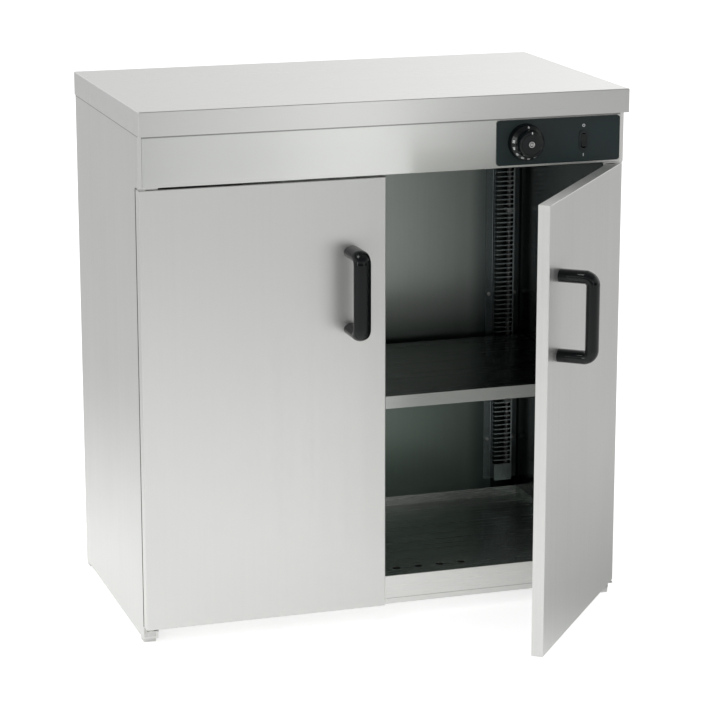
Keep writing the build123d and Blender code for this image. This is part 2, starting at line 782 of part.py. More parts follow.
for name, hinge in (("left_upper_hinge", right_upper_hinge), ("left_lower_hinge", right_lower_hinge)):
    with BuildPart() as left_hinge:
        mirror(hinge.part, about=Plane.YZ)
    left_hinge.part.label = name
    export_step(left_hinge.part, f"parts/{name}.step")

# ---------------------------------------------------------------- left door, shut

with BuildPart() as door_skin:
    with BuildSketch(Plane.XY.offset(door_bottom)):
        with Locations((-door_hinge_x, door_front_y)):
            Rectangle(door_hinge_x - door_free_x, door_thickness, align=(Align.MIN, Align.MIN))
    extrude(amount=door_height)
    fillet(door_skin.faces().sort_by(Axis.Y)[0].edges(), door_edge_radius)
    offset(amount=-sheet, openings=door_skin.faces().sort_by(Axis.Y)[-1])
    with BuildSketch(Plane.XY.offset(door_bottom)):
        with Locations((-pivot_x, pivot_y)):
            Circle(bush_radius)
    extrude(amount=door_height, mode=Mode.SUBTRACT)
    with BuildSketch(front_plane(0, 0, door_front_y)):
        with Locations(*handle_screw_spots):
            Circle(handle_screw_radius + screw_clearance)
    extrude(amount=-2 * sheet, mode=Mode.SUBTRACT)

liner_inset = sheet + liner_play
with BuildPart() as door_liner:
    with BuildSketch(front_plane(0, door_bottom + liner_inset, door_back_y)):
        with Locations((-door_hinge_x + liner_inset, 0)):
            Rectangle(door_hinge_x - door_free_x - 2 * liner_inset, door_height - 2 * liner_inset,
                      align=(Align.MIN, Align.MIN))
        with Locations(*[(x, z - door_bottom - liner_inset) for x, z in handle_screw_spots]):
            Circle(handle_screw_radius + screw_clearance, mode=Mode.SUBTRACT)
    extrude(amount=lining)

stiffener_front_y = door_front_y + sheet
stiffener_rear_y = door_back_y - lining
with BuildPart() as door_stiffener:
    stiffener_plan = [
        (handle_x + stiffener_width / 2 - lining, stiffener_rear_y),
        (handle_x + stiffener_width / 2 - lining, stiffener_front_y + lining),
        (handle_x - stiffener_width / 2 + lining, stiffener_front_y + lining),
        (handle_x - stiffener_width / 2 + lining, stiffener_rear_y),
    ]
    stiffener_plan.reverse()
    extrude(folded(stiffener_plan, lining, Plane.XY.offset(door_bottom + stiffener_end_gap)),
            amount=door_height - 2 * stiffener_end_gap)
    with BuildSketch(front_plane(0, 0, stiffener_front_y)):
        with Locations(*handle_screw_spots):
            Circle(handle_screw_radius + screw_clearance)
    extrude(amount=-2 * lining, mode=Mode.SUBTRACT)

grip_y = door_front_y - handle_projection + handle_section / 2
leg_low = handle_centre_height - handle_leg_spacing / 2
leg_high = handle_centre_height + handle_leg_spacing / 2
with BuildPart() as door_handle:
    with BuildLine(Plane.YZ.offset(handle_x)) as grip_line:
        FilletPolyline((door_front_y, leg_low), (grip_y, leg_low), (grip_y, leg_high), (door_front_y, leg_high),
                       radius=handle_bend_radius)
    with BuildSketch(Plane(origin=grip_line.line @ 0, x_dir=(1, 0, 0), z_dir=grip_line.line % 0)):
        Ellipse(handle_width / 2, handle_section / 2)
    sweep()
    with BuildSketch(front_plane(0, 0, door_front_y)):
        with Locations(*handle_screw_spots):
            Circle(handle_screw_radius + screw_clearance)
    extrude(amount=handle_screw_depth, mode=Mode.SUBTRACT)

with BuildPart() as door_handle_screws:
    with BuildSketch(front_plane(0, 0, door_back_y)):
        with Locations(*handle_screw_spots):
            Circle(handle_head_radius)
    extrude(amount=-handle_head_height, taper=15)
    with BuildSketch(front_plane(0, 0, door_back_y)):
        with Locations(*handle_screw_spots):
            Circle(handle_screw_radius)
    extrude(amount=door_thickness + handle_screw_depth - 1)

with BuildPart() as door_bushes:
    for end_z, outward in ((door_bottom, -1), (door_top, 1)):
        with BuildSketch(Plane.XY.offset(end_z)):
            with Locations((-pivot_x, pivot_y)):
                Circle(bush_flange_radius)
                Circle(pin_radius + pin_play, mode=Mode.SUBTRACT)
        extrude(amount=outward * bush_flange)
        with BuildSketch(Plane.XY.offset(end_z)):
            with Locations((-pivot_x, pivot_y)):
                Circle(bush_radius)
                Circle(pin_radius + pin_play, mode=Mode.SUBTRACT)
        extrude(amount=-outward * bush_length)

magnet_x = -door_free_x - magnet_from_edge
with BuildPart() as door_magnet:
    with BuildSketch(front_plane(magnet_x, door_bottom + magnet_from_bottom, door_back_y)):
        Rectangle(magnet_length, magnet_height, align=(Align.MAX, Align.MIN))
    extrude(amount=-magnet_thickness)

door_pieces = {
    "door_skin": door_skin,
    "door_liner": door_liner,
    "door_stiffener": door_stiffener,
    "door_handle": door_handle,
    "door_handle_screws": door_handle_screws,
    "door_bushes": door_bushes,
    "door_magnet": door_magnet,
}
for name, piece in door_pieces.items():
    piece.part.label = f"left_{name}"
    export_step(piece.part, f"parts/left_{name}.step")

# ---------------------------------------------------------------- right door, standing open

for name, piece in door_pieces.items():
    with BuildPart() as right_piece:
        add(mirrored(piece.part).rotate(right_pivot, right_door_angle))
    right_piece.part.label = f"right_{name}"
    export_step(right_piece.part, f"parts/right_{name}.step")

# ---------------------------------------------------------------- control panel

with BuildPart() as control_panel:
    with BuildSketch(front_plane(panel_centre_x, panel_centre_height, door_front_y)):
        RectangleRounded(panel_width, panel_height, panel_corner)
        with Locations((knob_x - panel_centre_x, knob_height - panel_centre_height)):
            Circle(thermostat_neck_radius + neck_play, mode=Mode.SUBTRACT)
        with Locations((switch_x - panel_centre_x, switch_height - panel_centre_height)):
            Rectangle(switch_body_width + 2 * cutout_play, switch_body_height + 2 * cutout_play,
                      mode=Mode.SUBTRACT)
    extrude(amount=panel_thickness)
control_panel.part.label = "control_panel"
export_step(control_panel.part, "parts/control_panel.step")

# ---------------------------------------------------------------- thermostat

thermostat_front_y = door_front_y + sheet
with BuildPart() as thermostat_body:
    with BuildSketch(front_plane(knob_x, knob_height, thermostat_front_y)):
        RectangleRounded(thermostat_size, thermostat_size, 3)
    extrude(amount=-thermostat_depth)
    with BuildSketch(front_plane(knob_x, knob_height, thermostat_front_y)):
        Circle(thermostat_neck_radius)
    extrude(amount=sheet + panel_thickness)
    with BuildSketch(front_plane(knob_x, knob_height, panel_front_y)):
        Circle(spindle_radius + pin_play)
    extrude(amount=-(panel_thickness + sheet + spindle_in_body + 1), mode=Mode.SUBTRACT)
    with BuildSketch(front_plane(knob_x, knob_height + thermostat_blade_rise, thermostat_rear_y)):
        with GridLocations(thermostat_blade_spacing, 0, 2, 1):
            Rectangle(blade_width, blade_thickness)
    extrude(amount=-blade_length)
thermostat_body.part.label = "thermostat_body"
export_step(thermostat_body.part, "parts/thermostat_body.step")

with BuildPart() as thermostat_capillary:
    with BuildLine(Plane.YZ.offset(capillary_x)) as capillary_line:
        FilletPolyline(
            (thermostat_rear_y, capillary_z),
            (thermostat_rear_y + capillary_drop_y, capillary_z),
            (thermostat_rear_y + capillary_drop_y, bulb_z),
            (bulb_start_y + capillary_bend, bulb_z),
            radius=capillary_bend,
        )
    with BuildSketch(Plane(origin=capillary_line.line @ 0, z_dir=capillary_line.line % 0)):
        Circle(capillary_radius)
    sweep()
thermostat_capillary.part.label = "thermostat_capillary"
export_step(thermostat_capillary.part, "parts/thermostat_capillary.step")

bulb_front_y = bulb_start_y + capillary_bend
with BuildPart() as thermostat_bulb:
    with BuildSketch(Plane(origin=(capillary_x, bulb_front_y, bulb_z), z_dir=(0, 1, 0))):
        Circle(bulb_radius)
    extrude(amount=bulb_length)
    fillet(thermostat_bulb.edges().filter_by(GeomType.CIRCLE), bulb_radius / 3)
thermostat_bulb.part.label = "thermostat_bulb"
export_step(thermostat_bulb.part, "parts/thermostat_bulb.step")

clip_height = bulb_below_ceiling + bulb_radius + 1.5
with BuildPart() as bulb_clips:
    for share in (0.2, 0.8):
        clip_y = bulb_front_y + share * bulb_length
        with BuildSketch(Plane(origin=(capillary_x, clip_y, 0), x_dir=(-1, 0, 0), z_dir=(0, 1, 0))):
            with Locations((0, ceiling_bottom)):
                Rectangle(bulb_clip_width, clip_height, align=(Align.CENTER, Align.MAX))
            with Locations((0, bulb_z)):
                Circle(bulb_radius + element_play, mode=Mode.SUBTRACT)
        extrude(amount=bulb_clip_length)
bulb_clips.part.label = "bulb_clips"
export_step(bulb_clips.part, "parts/bulb_clips.step")

# ---------------------------------------------------------------- thermostat knob

knob_rear_y = panel_front_y - knob_panel_gap
knob_axis = Axis((knob_x, 0, knob_height), (0, 1, 0))
knob_front_y = knob_rear_y - knob_depth
spindle_bore = spindle_radius + pin_play
recess_y = knob_front_y + knob_dish + knob_insert_depth
with BuildPart() as thermostat_knob:
    with BuildSketch(Plane.XY.offset(knob_height)):
        with BuildLine():
            Polyline(
                (knob_x + knob_boss_radius, knob_rear_y),
                (knob_x + knob_boss_radius, recess_y + knob_wall),
                (knob_x + knob_grip_tip_radius - knob_wall, recess_y + knob_wall),
                (knob_x + knob_grip_radius - knob_wall, knob_rear_y - knob_skirt_depth + knob_wall),
                (knob_x + knob_skirt_radius - knob_wall, knob_rear_y - knob_skirt_depth + knob_wall),
                (knob_x + knob_base_radius - knob_wall, knob_rear_y),
                (knob_x + knob_base_radius, knob_rear_y),
                (knob_x + knob_skirt_radius, knob_rear_y - knob_skirt_depth),
                (knob_x + knob_grip_radius, knob_rear_y - knob_shoulder_depth),
                (knob_x + knob_grip_tip_radius, knob_front_y + knob_dish),
                (knob_x + knob_grip_tip_radius - knob_dish, knob_front_y),
                (knob_x + knob_dish_radius + knob_dish, knob_front_y),
                (knob_x + knob_dish_radius, knob_front_y + knob_dish),
                (knob_x + knob_insert_radius, knob_front_y + knob_dish),
                (knob_x + knob_insert_radius, recess_y),
                (knob_x, recess_y),
                (knob_x, knob_rear_y - spindle_in_knob),
                (knob_x + spindle_bore, knob_rear_y - spindle_in_knob),
                (knob_x + spindle_bore, knob_rear_y),
                close=True,
            )
        make_face()
    revolve(axis=knob_axis)
thermostat_knob.part.label = "thermostat_knob"
export_step(thermostat_knob.part, "parts/thermostat_knob.step")

with BuildPart() as knob_insert:
    with BuildSketch(front_plane(knob_x, knob_height, recess_y)):
        Circle(knob_insert_radius - pin_play)
    extrude(amount=knob_insert_depth + knob_dish / 2)
knob_insert.part.label = "knob_insert"
export_step(knob_insert.part, "parts/knob_insert.step")

with BuildPart() as knob_spindle:
    with BuildSketch(front_plane(knob_x, knob_height, knob_rear_y - spindle_in_knob)):
        Circle(spindle_radius)
    extrude(amount=-(spindle_in_knob + knob_panel_gap + panel_thickness + sheet + spindle_in_body))
knob_spindle.part.label = "knob_spindle"
export_step(knob_spindle.part, "parts/knob_spindle.step")

# ---------------------------------------------------------------- rocker switch

rocker_pivot_y = bezel_front_y + rocker_pivot_depth
with BuildPart() as switch_housing:
    with BuildSketch(front_plane(switch_x, switch_height, panel_front_y)):
        RectangleRounded(bezel_width, bezel_height, bezel_corner)
    extrude(amount=bezel_thickness)
    fillet(switch_housing.faces().sort_by(Axis.Y)[0].edges(), bezel_thickness / 3)
    with BuildSketch(front_plane(switch_x, switch_height, panel_front_y)):
        Rectangle(switch_body_width, switch_body_height)
    extrude(amount=-switch_body_depth)
    with BuildSketch(front_plane(switch_x, switch_height, bezel_front_y)):
        SlotOverall(rocker_well_height, rocker_well_width, rotation=90)
    extrude(amount=-rocker_well_depth, mode=Mode.SUBTRACT)
    with BuildSketch(Plane.YZ.offset(switch_x)):
        with Locations((rocker_pivot_y, switch_height)):
            Circle(rocker_pin_radius + pin_play)
    extrude(amount=(rocker_pin_length + 4 * pin_play) / 2, both=True, mode=Mode.SUBTRACT)
    blade_root_y = panel_front_y + switch_body_depth
    with BuildSketch(front_plane(switch_x, switch_height, blade_root_y)):
        with GridLocations(0, blade_spacing, 1, 2):
            Rectangle(blade_width, blade_thickness)
    extrude(amount=-blade_length)
switch_housing.part.label = "switch_housing"
export_step(switch_housing.part, "parts/switch_housing.step")

with BuildPart() as switch_rocker:
    with BuildSketch(Plane.YZ.offset(switch_x - rocker_width / 2)):
        with Locations((rocker_pivot_y, switch_height)):
            Circle(rocker_radius)
        with Locations((rocker_pivot_y + rocker_back, switch_height)):
            Rectangle(2 * rocker_radius, 3 * rocker_radius, align=(Align.MIN, Align.CENTER), mode=Mode.SUBTRACT)
        with BuildLine():
            Polyline(
                (rocker_pivot_y - 2 * rocker_radius, switch_height + rocker_radius),
                (rocker_pivot_y - rocker_tip, switch_height + rocker_radius),
                (rocker_pivot_y - rocker_valley, switch_height),
                (rocker_pivot_y - rocker_tip, switch_height - rocker_radius),
                (rocker_pivot_y - 2 * rocker_radius, switch_height - rocker_radius),
                close=True,
            )
        make_face(mode=Mode.SUBTRACT)
    extrude(amount=rocker_width)
    with BuildSketch(front_plane(switch_x, switch_height, rocker_pivot_y + rocker_radius)):
        SlotOverall(2 * rocker_radius - rocker_end_trim, rocker_width, rotation=90)
    extrude(amount=2 * rocker_radius, mode=Mode.INTERSECT)
    with BuildSketch(Plane.YZ.offset(switch_x)):
        with Locations((rocker_pivot_y, switch_height)):
            Circle(rocker_pin_radius)
    extrude(amount=rocker_pin_length / 2, both=True)
# the upper half is pressed in, which is the off position
rocker_axis = Axis((switch_x, rocker_pivot_y, switch_height), (1, 0, 0))
with BuildPart() as tilted_rocker:
    add(switch_rocker.part.rotate(rocker_axis, -rocker_tilt))
tilted_rocker.part.label = "switch_rocker"
export_step(tilted_rocker.part, "parts/switch_rocker.step")

# ---------------------------------------------------------------- wiring inside the control space

terminal_base_z = ceiling_bottom + lining
terminal_pitch = terminal_length / terminal_count
with BuildPart() as terminal_block:
    with BuildSketch(Plane.XY.offset(terminal_base_z)):
        with Locations((terminal_x, terminal_y)):
            RectangleRounded(terminal_length, terminal_depth, 1.5)
    extrude(amount=terminal_height)
    for x_step in range(terminal_count - 1):
        rib_x = terminal_x - terminal_length / 2 + (x_step + 1) * terminal_pitch
        with BuildSketch(Plane.XY.offset(terminal_base_z + terminal_height)):
            with Locations((rib_x, terminal_y)):
                Rectangle(terminal_pitch / 5, 2 * terminal_depth)
        extrude(amount=-terminal_height / 3, mode=Mode.SUBTRACT)
terminal_block.part.label = "terminal_block"
export_step(terminal_block.part, "parts/terminal_block.step")

wire_z = terminal_base_z + wire_level
terminal_front_y = terminal_y - terminal_depth / 2
terminal_rear_y = terminal_y + terminal_depth / 2
terminal_xs = [
    terminal_x - terminal_length / 2 + (step + 0.5) * terminal_pitch for step in range(terminal_count)
]
blade_end_y = panel_front_y + switch_body_depth + blade_length
thermostat_blade_y = thermostat_rear_y + blade_length
thermostat_blade_z = knob_height + thermostat_blade_rise
# each front wire: x and height of its blade, where the blade ends, and the terminal it runs to
front_wires = [
    (knob_x - thermostat_blade_spacing / 2, thermostat_blade_z, thermostat_blade_y, terminal_xs[1]),
    (knob_x + thermostat_blade_spacing / 2, thermostat_blade_z, thermostat_blade_y, terminal_xs[2]),
    (switch_x, switch_height - blade_spacing / 2, blade_end_y, terminal_xs[3]),
    (switch_x, switch_height + blade_spacing / 2, blade_end_y, terminal_xs[4]),
]
# each rear wire: x of the heating element's stud, and the terminal it runs to
outer_stud_x = element_x + element_stud_spacing / 2
inner_stud_x = element_x - element_stud_spacing / 2
rear_wires = [
    (outer_stud_x, terminal_xs[4]),
    (inner_stud_x, terminal_xs[3]),
    (-inner_stud_x, terminal_xs[1]),
    (-outer_stud_x, terminal_xs[0]),
]
wire_paths = []
for place, (x, z, start_y, end_x) in enumerate(front_wires):
    run_y = capillary_drop_y + thermostat_rear_y + 2 * wire_gap + place * wire_gap
    wire_paths.append([
        (x, start_y, z), (x, run_y, z), (x, run_y, wire_z),
        (end_x, run_y, wire_z), (end_x, terminal_front_y, wire_z),
    ])
for x, end_x in rear_wires:
    run_y = terminal_rear_y + 10 * wire_gap + (wire_gap if abs(x) < element_x else 0)
    stud_top = element_head_top + element_stud_length
    run_z = stud_top + 2 * wire_bend
    wire_paths.append([
        (x, element_y, stud_top), (x, element_y, run_z), (x, run_y, run_z),
        (end_x, run_y, run_z), (end_x, run_y, wire_z), (end_x, terminal_rear_y, wire_z),
    ])
with BuildPart() as wiring:
    for points in wire_paths:
        with BuildPart(mode=Mode.PRIVATE) as wire:
            with BuildLine() as route:
                FilletPolyline(*points, radius=wire_bend)
            with BuildSketch(Plane(origin=route.line @ 0, z_dir=route.line % 0)):
                Circle(wire_radius)
            sweep()
        add(wire.part)
wiring.part.label = "wiring"
export_step(wiring.part, "parts/wiring.step")

gland_mouth = Plane(origin=(gland_x, rear_y, gland_height), z_dir=(0, 1, 0))
with BuildPart() as cable_gland:
    with BuildSketch(gland_mouth):
        RegularPolygon(gland_hex / 2, 6, major_radius=False)
    extrude(amount=gland_hex_depth)
    with BuildSketch(gland_mouth.offset(gland_hex_depth)):
        Circle(gland_dome_radius)
    extrude(amount=gland_dome_depth)
    fillet(cable_gland.faces().sort_by(Axis.Y)[-1].edges(), gland_dome_radius / 3)
    with BuildSketch(gland_mouth):
        Circle(gland_thread_radius)
    extrude(amount=-gland_inside)
    with BuildSketch(gland_mouth.offset(-gland_inside)):
        Circle(gland_bore_radius)
    extrude(amount=gland_inside + gland_hex_depth + gland_dome_depth, mode=Mode.SUBTRACT)
cable_gland.part.label = "cable_gland"
export_step(cable_gland.part, "parts/cable_gland.step")

with BuildPart() as gland_nut:
    with BuildSketch(gland_mouth.offset(-sheet)):
        RegularPolygon(gland_hex / 2, 6, major_radius=False)
        Circle(gland_thread_radius, mode=Mode.SUBTRACT)
    extrude(amount=-gland_nut_depth)
gland_nut.part.label = "gland_nut"
export_step(gland_nut.part, "parts/gland_nut.step")
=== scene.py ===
import math

import bmesh
import bpy
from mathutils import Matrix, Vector


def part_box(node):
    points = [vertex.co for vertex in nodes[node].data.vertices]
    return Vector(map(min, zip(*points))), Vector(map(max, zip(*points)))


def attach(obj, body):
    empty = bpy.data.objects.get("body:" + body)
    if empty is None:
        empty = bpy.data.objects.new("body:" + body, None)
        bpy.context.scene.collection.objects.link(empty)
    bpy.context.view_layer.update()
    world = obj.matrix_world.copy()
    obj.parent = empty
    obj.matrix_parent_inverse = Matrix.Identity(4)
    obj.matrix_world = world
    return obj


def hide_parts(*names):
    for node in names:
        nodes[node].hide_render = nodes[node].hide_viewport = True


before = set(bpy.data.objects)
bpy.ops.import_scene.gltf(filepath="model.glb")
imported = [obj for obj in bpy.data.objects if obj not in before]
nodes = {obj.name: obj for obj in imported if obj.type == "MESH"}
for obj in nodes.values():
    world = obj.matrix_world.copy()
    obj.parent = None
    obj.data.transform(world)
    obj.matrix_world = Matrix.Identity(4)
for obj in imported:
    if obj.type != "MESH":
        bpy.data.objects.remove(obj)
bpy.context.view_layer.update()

# ---------------------------------------------------------------- worktop
# The flat top is a tray of stainless sheet turned upside down, with its edge folded down all round.
# It is brushed from end to end, so fine lines run along it, and the bends catch the light.


def add_node(tree, kind, **settings):
    """A node with its properties set, and its inputs set where a name in settings starts with in_."""
    node = tree.nodes.new(kind)
    for key, value in settings.items():
        if key.startswith("in_"):
            slot = key[3:]
            node.inputs[int(slot) if slot.isdigit() else slot.replace("_", " ")].default_value = value
        else:
            setattr(node, key, value)
    return node


def math_node(tree, operation, first, second=None, third=None, clamp=False):
    """A Math node whose inputs are numbers or sockets; it returns the output socket."""
    node = tree.nodes.new("ShaderNodeMath")
    node.operation = operation
    node.use_clamp = clamp
    for place, value in enumerate((first, second, third)):
        if value is None:
            continue
        if isinstance(value, (int, float)):
            node.inputs[place].default_value = value
        else:
            tree.links.new(value, node.inputs[place])
    return node.outputs[0]


def brush_lines_group():
    """Brushing marks of a sheet: lines along X on faces that look up or forwards, and upright ones on the ends.

    Upright at 1 turns them all upright, and Fineness is the number of marks in a metre across the lines.
    """
    group = bpy.data.node_groups.new("brush_lines", "ShaderNodeTree")
    for label, value in (("Upright", 0.0), ("Fineness", 1100.0)):
        group.interface.new_socket(name=label, in_out="INPUT", socket_type="NodeSocketFloat").default_value = value
    for label in ("Streak", "Cloud", "Height"):
        group.interface.new_socket(name=label, in_out="OUTPUT", socket_type="NodeSocketFloat")
    entry, leave = group.nodes.new("NodeGroupInput"), group.nodes.new("NodeGroupOutput")
    place = add_node(group, "ShaderNodeTexCoord")
    apart = add_node(group, "ShaderNodeSeparateXYZ")
    group.links.new(place.outputs["Object"], apart.inputs[0])
    facing = add_node(group, "ShaderNodeSeparateXYZ")
    group.links.new(place.outputs["Normal"], facing.inputs[0])
    side_face = math_node(group, "GREATER_THAN", math_node(group, "ABSOLUTE", facing.outputs["X"]), 0.8)
    upright = math_node(group, "MAXIMUM", side_face, entry.outputs["Upright"])
    # along the lines the pattern is stretched
    stretch = 110.0
    fine = entry.outputs["Fineness"]
    slow = math_node(group, "DIVIDE", fine, stretch)
    x_rate = math_node(group, "MULTIPLY_ADD", upright, math_node(group, "SUBTRACT", fine, slow), slow)
    z_rate = math_node(group, "MULTIPLY_ADD", upright, math_node(group, "SUBTRACT", slow, fine), fine)
    stretched = add_node(group, "ShaderNodeCombineXYZ")
    group.links.new(math_node(group, "MULTIPLY", apart.outputs["X"], x_rate), stretched.inputs["X"])
    group.links.new(math_node(group, "MULTIPLY", apart.outputs["Y"], fine), stretched.inputs["Y"])
    group.links.new(math_node(group, "MULTIPLY", apart.outputs["Z"], z_rate), stretched.inputs["Z"])
    line = add_node(group, "ShaderNodeTexNoise", in_Scale=1.0, in_Detail=3.0, in_Roughness=0.65)
    group.links.new(stretched.outputs[0], line.inputs["Vector"])
    broad_place = add_node(group, "ShaderNodeVectorMath", operation="SCALE", in_Scale=0.11)
    group.links.new(stretched.outputs[0], broad_place.inputs[0])
    broad = add_node(group, "ShaderNodeTexNoise", in_Scale=1.0, in_Detail=2.0, in_Roughness=0.5)
    group.links.new(broad_place.outputs[0], broad.inputs["Vector"])
    streak = math_node(group, "MULTIPLY_ADD", broad.outputs["Fac"], 0.45,
                       math_node(group, "MULTIPLY", line.outputs["Fac"], 0.55), clamp=True)
    cloud = add_node(group, "ShaderNodeTexNoise", in_Scale=5.0, in_Detail=2.0, in_Roughness=0.45)
    group.links.new(place.outputs["Object"], cloud.inputs["Vector"])
    group.links.new(streak, leave.inputs["Streak"])
    group.links.new(cloud.outputs["Fac"], leave.inputs["Cloud"])
    group.links.new(line.outputs["Fac"], leave.inputs["Height"])
    return group


brush_lines = brush_lines_group()


def new_material(name):
    """A material with a Principled shader; it returns the material, its tree and the shader."""
    material = bpy.data.materials.new(name)
    material.use_nodes = True
    tree = material.node_tree
    return material, tree, tree.nodes["Principled BSDF"]


def ramp_between(tree, factor, low, high, stops=(0.3, 0.7)):
    """A two-colour ramp over a value; low and high are colours or grey levels."""
    ramp = tree.nodes.new("ShaderNodeValToRGB")
    for point, place, level in zip(ramp.color_ramp.elements, stops, (low, high)):
        point.position = place
        point.color = (level, level, level, 1) if isinstance(level, float) else (*level, 1)
    tree.links.new(factor, ramp.inputs["Fac"])
    return ramp.outputs["Color"]


def dark_and_light(colour, share):
    """A colour made darker and lighter by a share of itself."""
    return tuple(level * (1 - share) for level in colour), tuple(min(1.0, level * (1 + share)) for level in colour)


def brushed_sheet(name, colour, roughness, across, upright=0.0, contrast=0.016, bump=0.012, spread=0.7,
                  unevenness=0.08):
    """Brushed stainless sheet: its gloss spreads across the brushing lines, and is faintly mottled.

    Across is the way over the lines, contrast and unevenness are shares of the colour and of the roughness,
    bump is the lines' depth in millimetres, and spread is how far the gloss is drawn out.
    """
    material, tree, shader = new_material(name)
    lines = add_node(tree, "ShaderNodeGroup", node_tree=brush_lines)
    lines.inputs["Upright"].default_value = upright
    mottled = math_node(tree, "MULTIPLY_ADD", lines.outputs["Cloud"], 0.3,
                        math_node(tree, "MULTIPLY", lines.outputs["Streak"], 0.7))
    stops = (0.35, 0.65)
    tone = ramp_between(tree, mottled, *dark_and_light(colour, contrast), stops)
    tree.links.new(tone, shader.inputs["Base Color"])
    smooth, rough = roughness * (1 - unevenness), roughness * (1 + unevenness)
    gloss = ramp_between(tree, lines.outputs["Streak"], smooth, rough, stops)
    tree.links.new(gloss, shader.inputs["Roughness"])
    shader.inputs["Metallic"].default_value = 1.0
    shader.inputs["Anisotropic"].default_value = spread
    grain = add_node(tree, "ShaderNodeVectorTransform", vector_type="VECTOR", convert_from="OBJECT",
                     convert_to="WORLD", in_Vector=across)
    tree.links.new(grain.outputs[0], shader.inputs["Tangent"])
    raised = add_node(tree, "ShaderNodeBump", in_Strength=0.25, in_Distance=bump * 0.001)
    tree.links.new(lines.outputs["Height"], raised.inputs["Height"])
    tree.links.new(raised.outputs["Normal"], shader.inputs["Normal"])
    return material


def dress(material, *names):
    """Puts one material on CAD pieces."""
    for name in names:
        piece = nodes[name]
        piece.data.materials.clear()
        piece.data.materials.append(material)


def place_and_normal(tree):
    """The sockets of the object's own coordinates and normal that masks are made from."""
    coordinates = add_node(tree, "ShaderNodeTexCoord")
    sockets = {}
    for source, prefix in (("Object", ""), ("Normal", "n")):
        parts = add_node(tree, "ShaderNodeSeparateXYZ")
        tree.links.new(coordinates.outputs[source], parts.inputs[0])
        sockets.update({prefix + axis: parts.outputs[axis.upper()] for axis in "xyz"})
    return sockets


def tint_over(material, mask, tint):
    """Multiplies a sheet's colour by a tint where a mask is 1."""
    tree = material.node_tree
    shader = tree.nodes["Principled BSDF"]
    bare = shader.inputs["Base Color"].links[0].from_socket
    mix = add_node(tree, "ShaderNodeMix", data_type="RGBA", blend_type="MULTIPLY")
    mix.inputs["B"].default_value = (*tint, 1)
    tree.links.new(mask, mix.inputs["Factor"])
    tree.links.new(bare, mix.inputs["A"])
    tree.links.new(mix.outputs["Result"], shader.inputs["Base Color"])


def fade(tree, value, start, end, low=0.0, high=1.0):
    """A smooth change from low to high as a value goes from start to end; low and high may be sockets."""
    change = add_node(tree, "ShaderNodeMapRange", interpolation_type="SMOOTHSTEP")
    for place, number in enumerate((start, end, low, high), start=1):
        if isinstance(number, (int, float)):
            change.inputs[place].default_value = number
        else:
            tree.links.new(number, change.inputs[place])
    tree.links.new(value, change.inputs[0])
    return change.outputs[0]


def product(tree, *masks):
    """Masks multiplied with one another."""
    whole = masks[0]
    for mask in masks[1:]:
        whole = math_node(tree, "MULTIPLY", whole, mask)
    return whole


worktop_steel = brushed_sheet("worktop_steel", (0.73, 0.73, 0.715), 0.28, across=(0, 1, 1), contrast=0.010,
                              bump=0.005, spread=0.85, unevenness=0.03)
# the front of its skirt is painted a little darker than its top, as painted shade
worktop_tree = worktop_steel.node_tree
skirt_front = math_node(worktop_tree, "LESS_THAN", place_and_normal(worktop_tree)["ny"], -0.5)
tint_over(worktop_steel, skirt_front, (0.93, 0.94, 0.935))
dress(worktop_steel, "worktop")

# ---------------------------------------------------------------- side, rear and front panels
# The carcass is folded from the same sheet. Its sides are brushed upright, and the fascia from end to end.
# The rear panel is plainer mill-finish sheet, held by screws.

outer_colour, outer_roughness = (0.715, 0.72, 0.70), 0.36
side_steel = brushed_sheet("side_steel", outer_colour, outer_roughness, across=(1, 1, 0), upright=1.0,
                           contrast=0.042)
# painted shade darkens the outer edge of each post, in the narrow gap behind the door
side_tree = side_steel.node_tree
side_place = place_and_normal(side_tree)
gap_shade_width = 0.0025
post_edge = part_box("right_side_panel")[1][0] - gap_shade_width
door_low, door_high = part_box("left_door_skin")
tint_over(side_steel, product(
    side_tree,
    math_node(side_tree, "LESS_THAN", side_place["ny"], -0.3),
    math_node(side_tree, "GREATER_THAN", math_node(side_tree, "ABSOLUTE", side_place["x"]), post_edge),
    math_node(side_tree, "GREATER_THAN", side_place["z"], door_low[2]),
    math_node(side_tree, "LESS_THAN", side_place["z"], door_high[2]),
), (0.2, 0.2, 0.2))
# and a painted shadow line lies under the worktop's skirt
skirt_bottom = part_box("worktop")[0][2]
skirt_shadow_tint = (0.42, 0.42, 0.42)
tint_over(side_steel, fade(side_tree, side_place["z"], skirt_bottom - 0.0030, skirt_bottom - 0.0015), skirt_shadow_tint)
dress(side_steel, "right_side_panel", "left_side_panel")
fascia_steel = brushed_sheet("fascia_steel", (0.66, 0.67, 0.65), 0.24, across=(0, 1, 1), contrast=0.032,
                             bump=0.006, spread=0.92, unevenness=0.04)
# the fascia goes up behind the skirt, which stands out further in front, so its painted shadow line lies lower
# down
fascia_tree = fascia_steel.node_tree
fascia_height = place_and_normal(fascia_tree)["z"]
tint_over(fascia_steel, fade(fascia_tree, fascia_height, skirt_bottom - 0.0062, skirt_bottom - 0.0042), skirt_shadow_tint)
dress(fascia_steel, "fascia")
rear_steel = brushed_sheet("rear_steel", (0.60, 0.60, 0.59), 0.45, across=(1, 0, 0), upright=1.0, spread=0.3)
dress(rear_steel, "rear_panel", "base_panel")

# ---------------------------------------------------------------- doors
# Each door is a shallow tray of sheet, brushed upright, and closed at the back by a flat liner. A folded
# stiffener between the two takes the handle's screws.

door_steel = brushed_sheet("door_steel", outer_colour, outer_roughness, across=(1, 0, 0), upright=1.0,
                           contrast=0.018)
dress(door_steel, "left_door_skin", "left_door_liner", "left_door_stiffener")
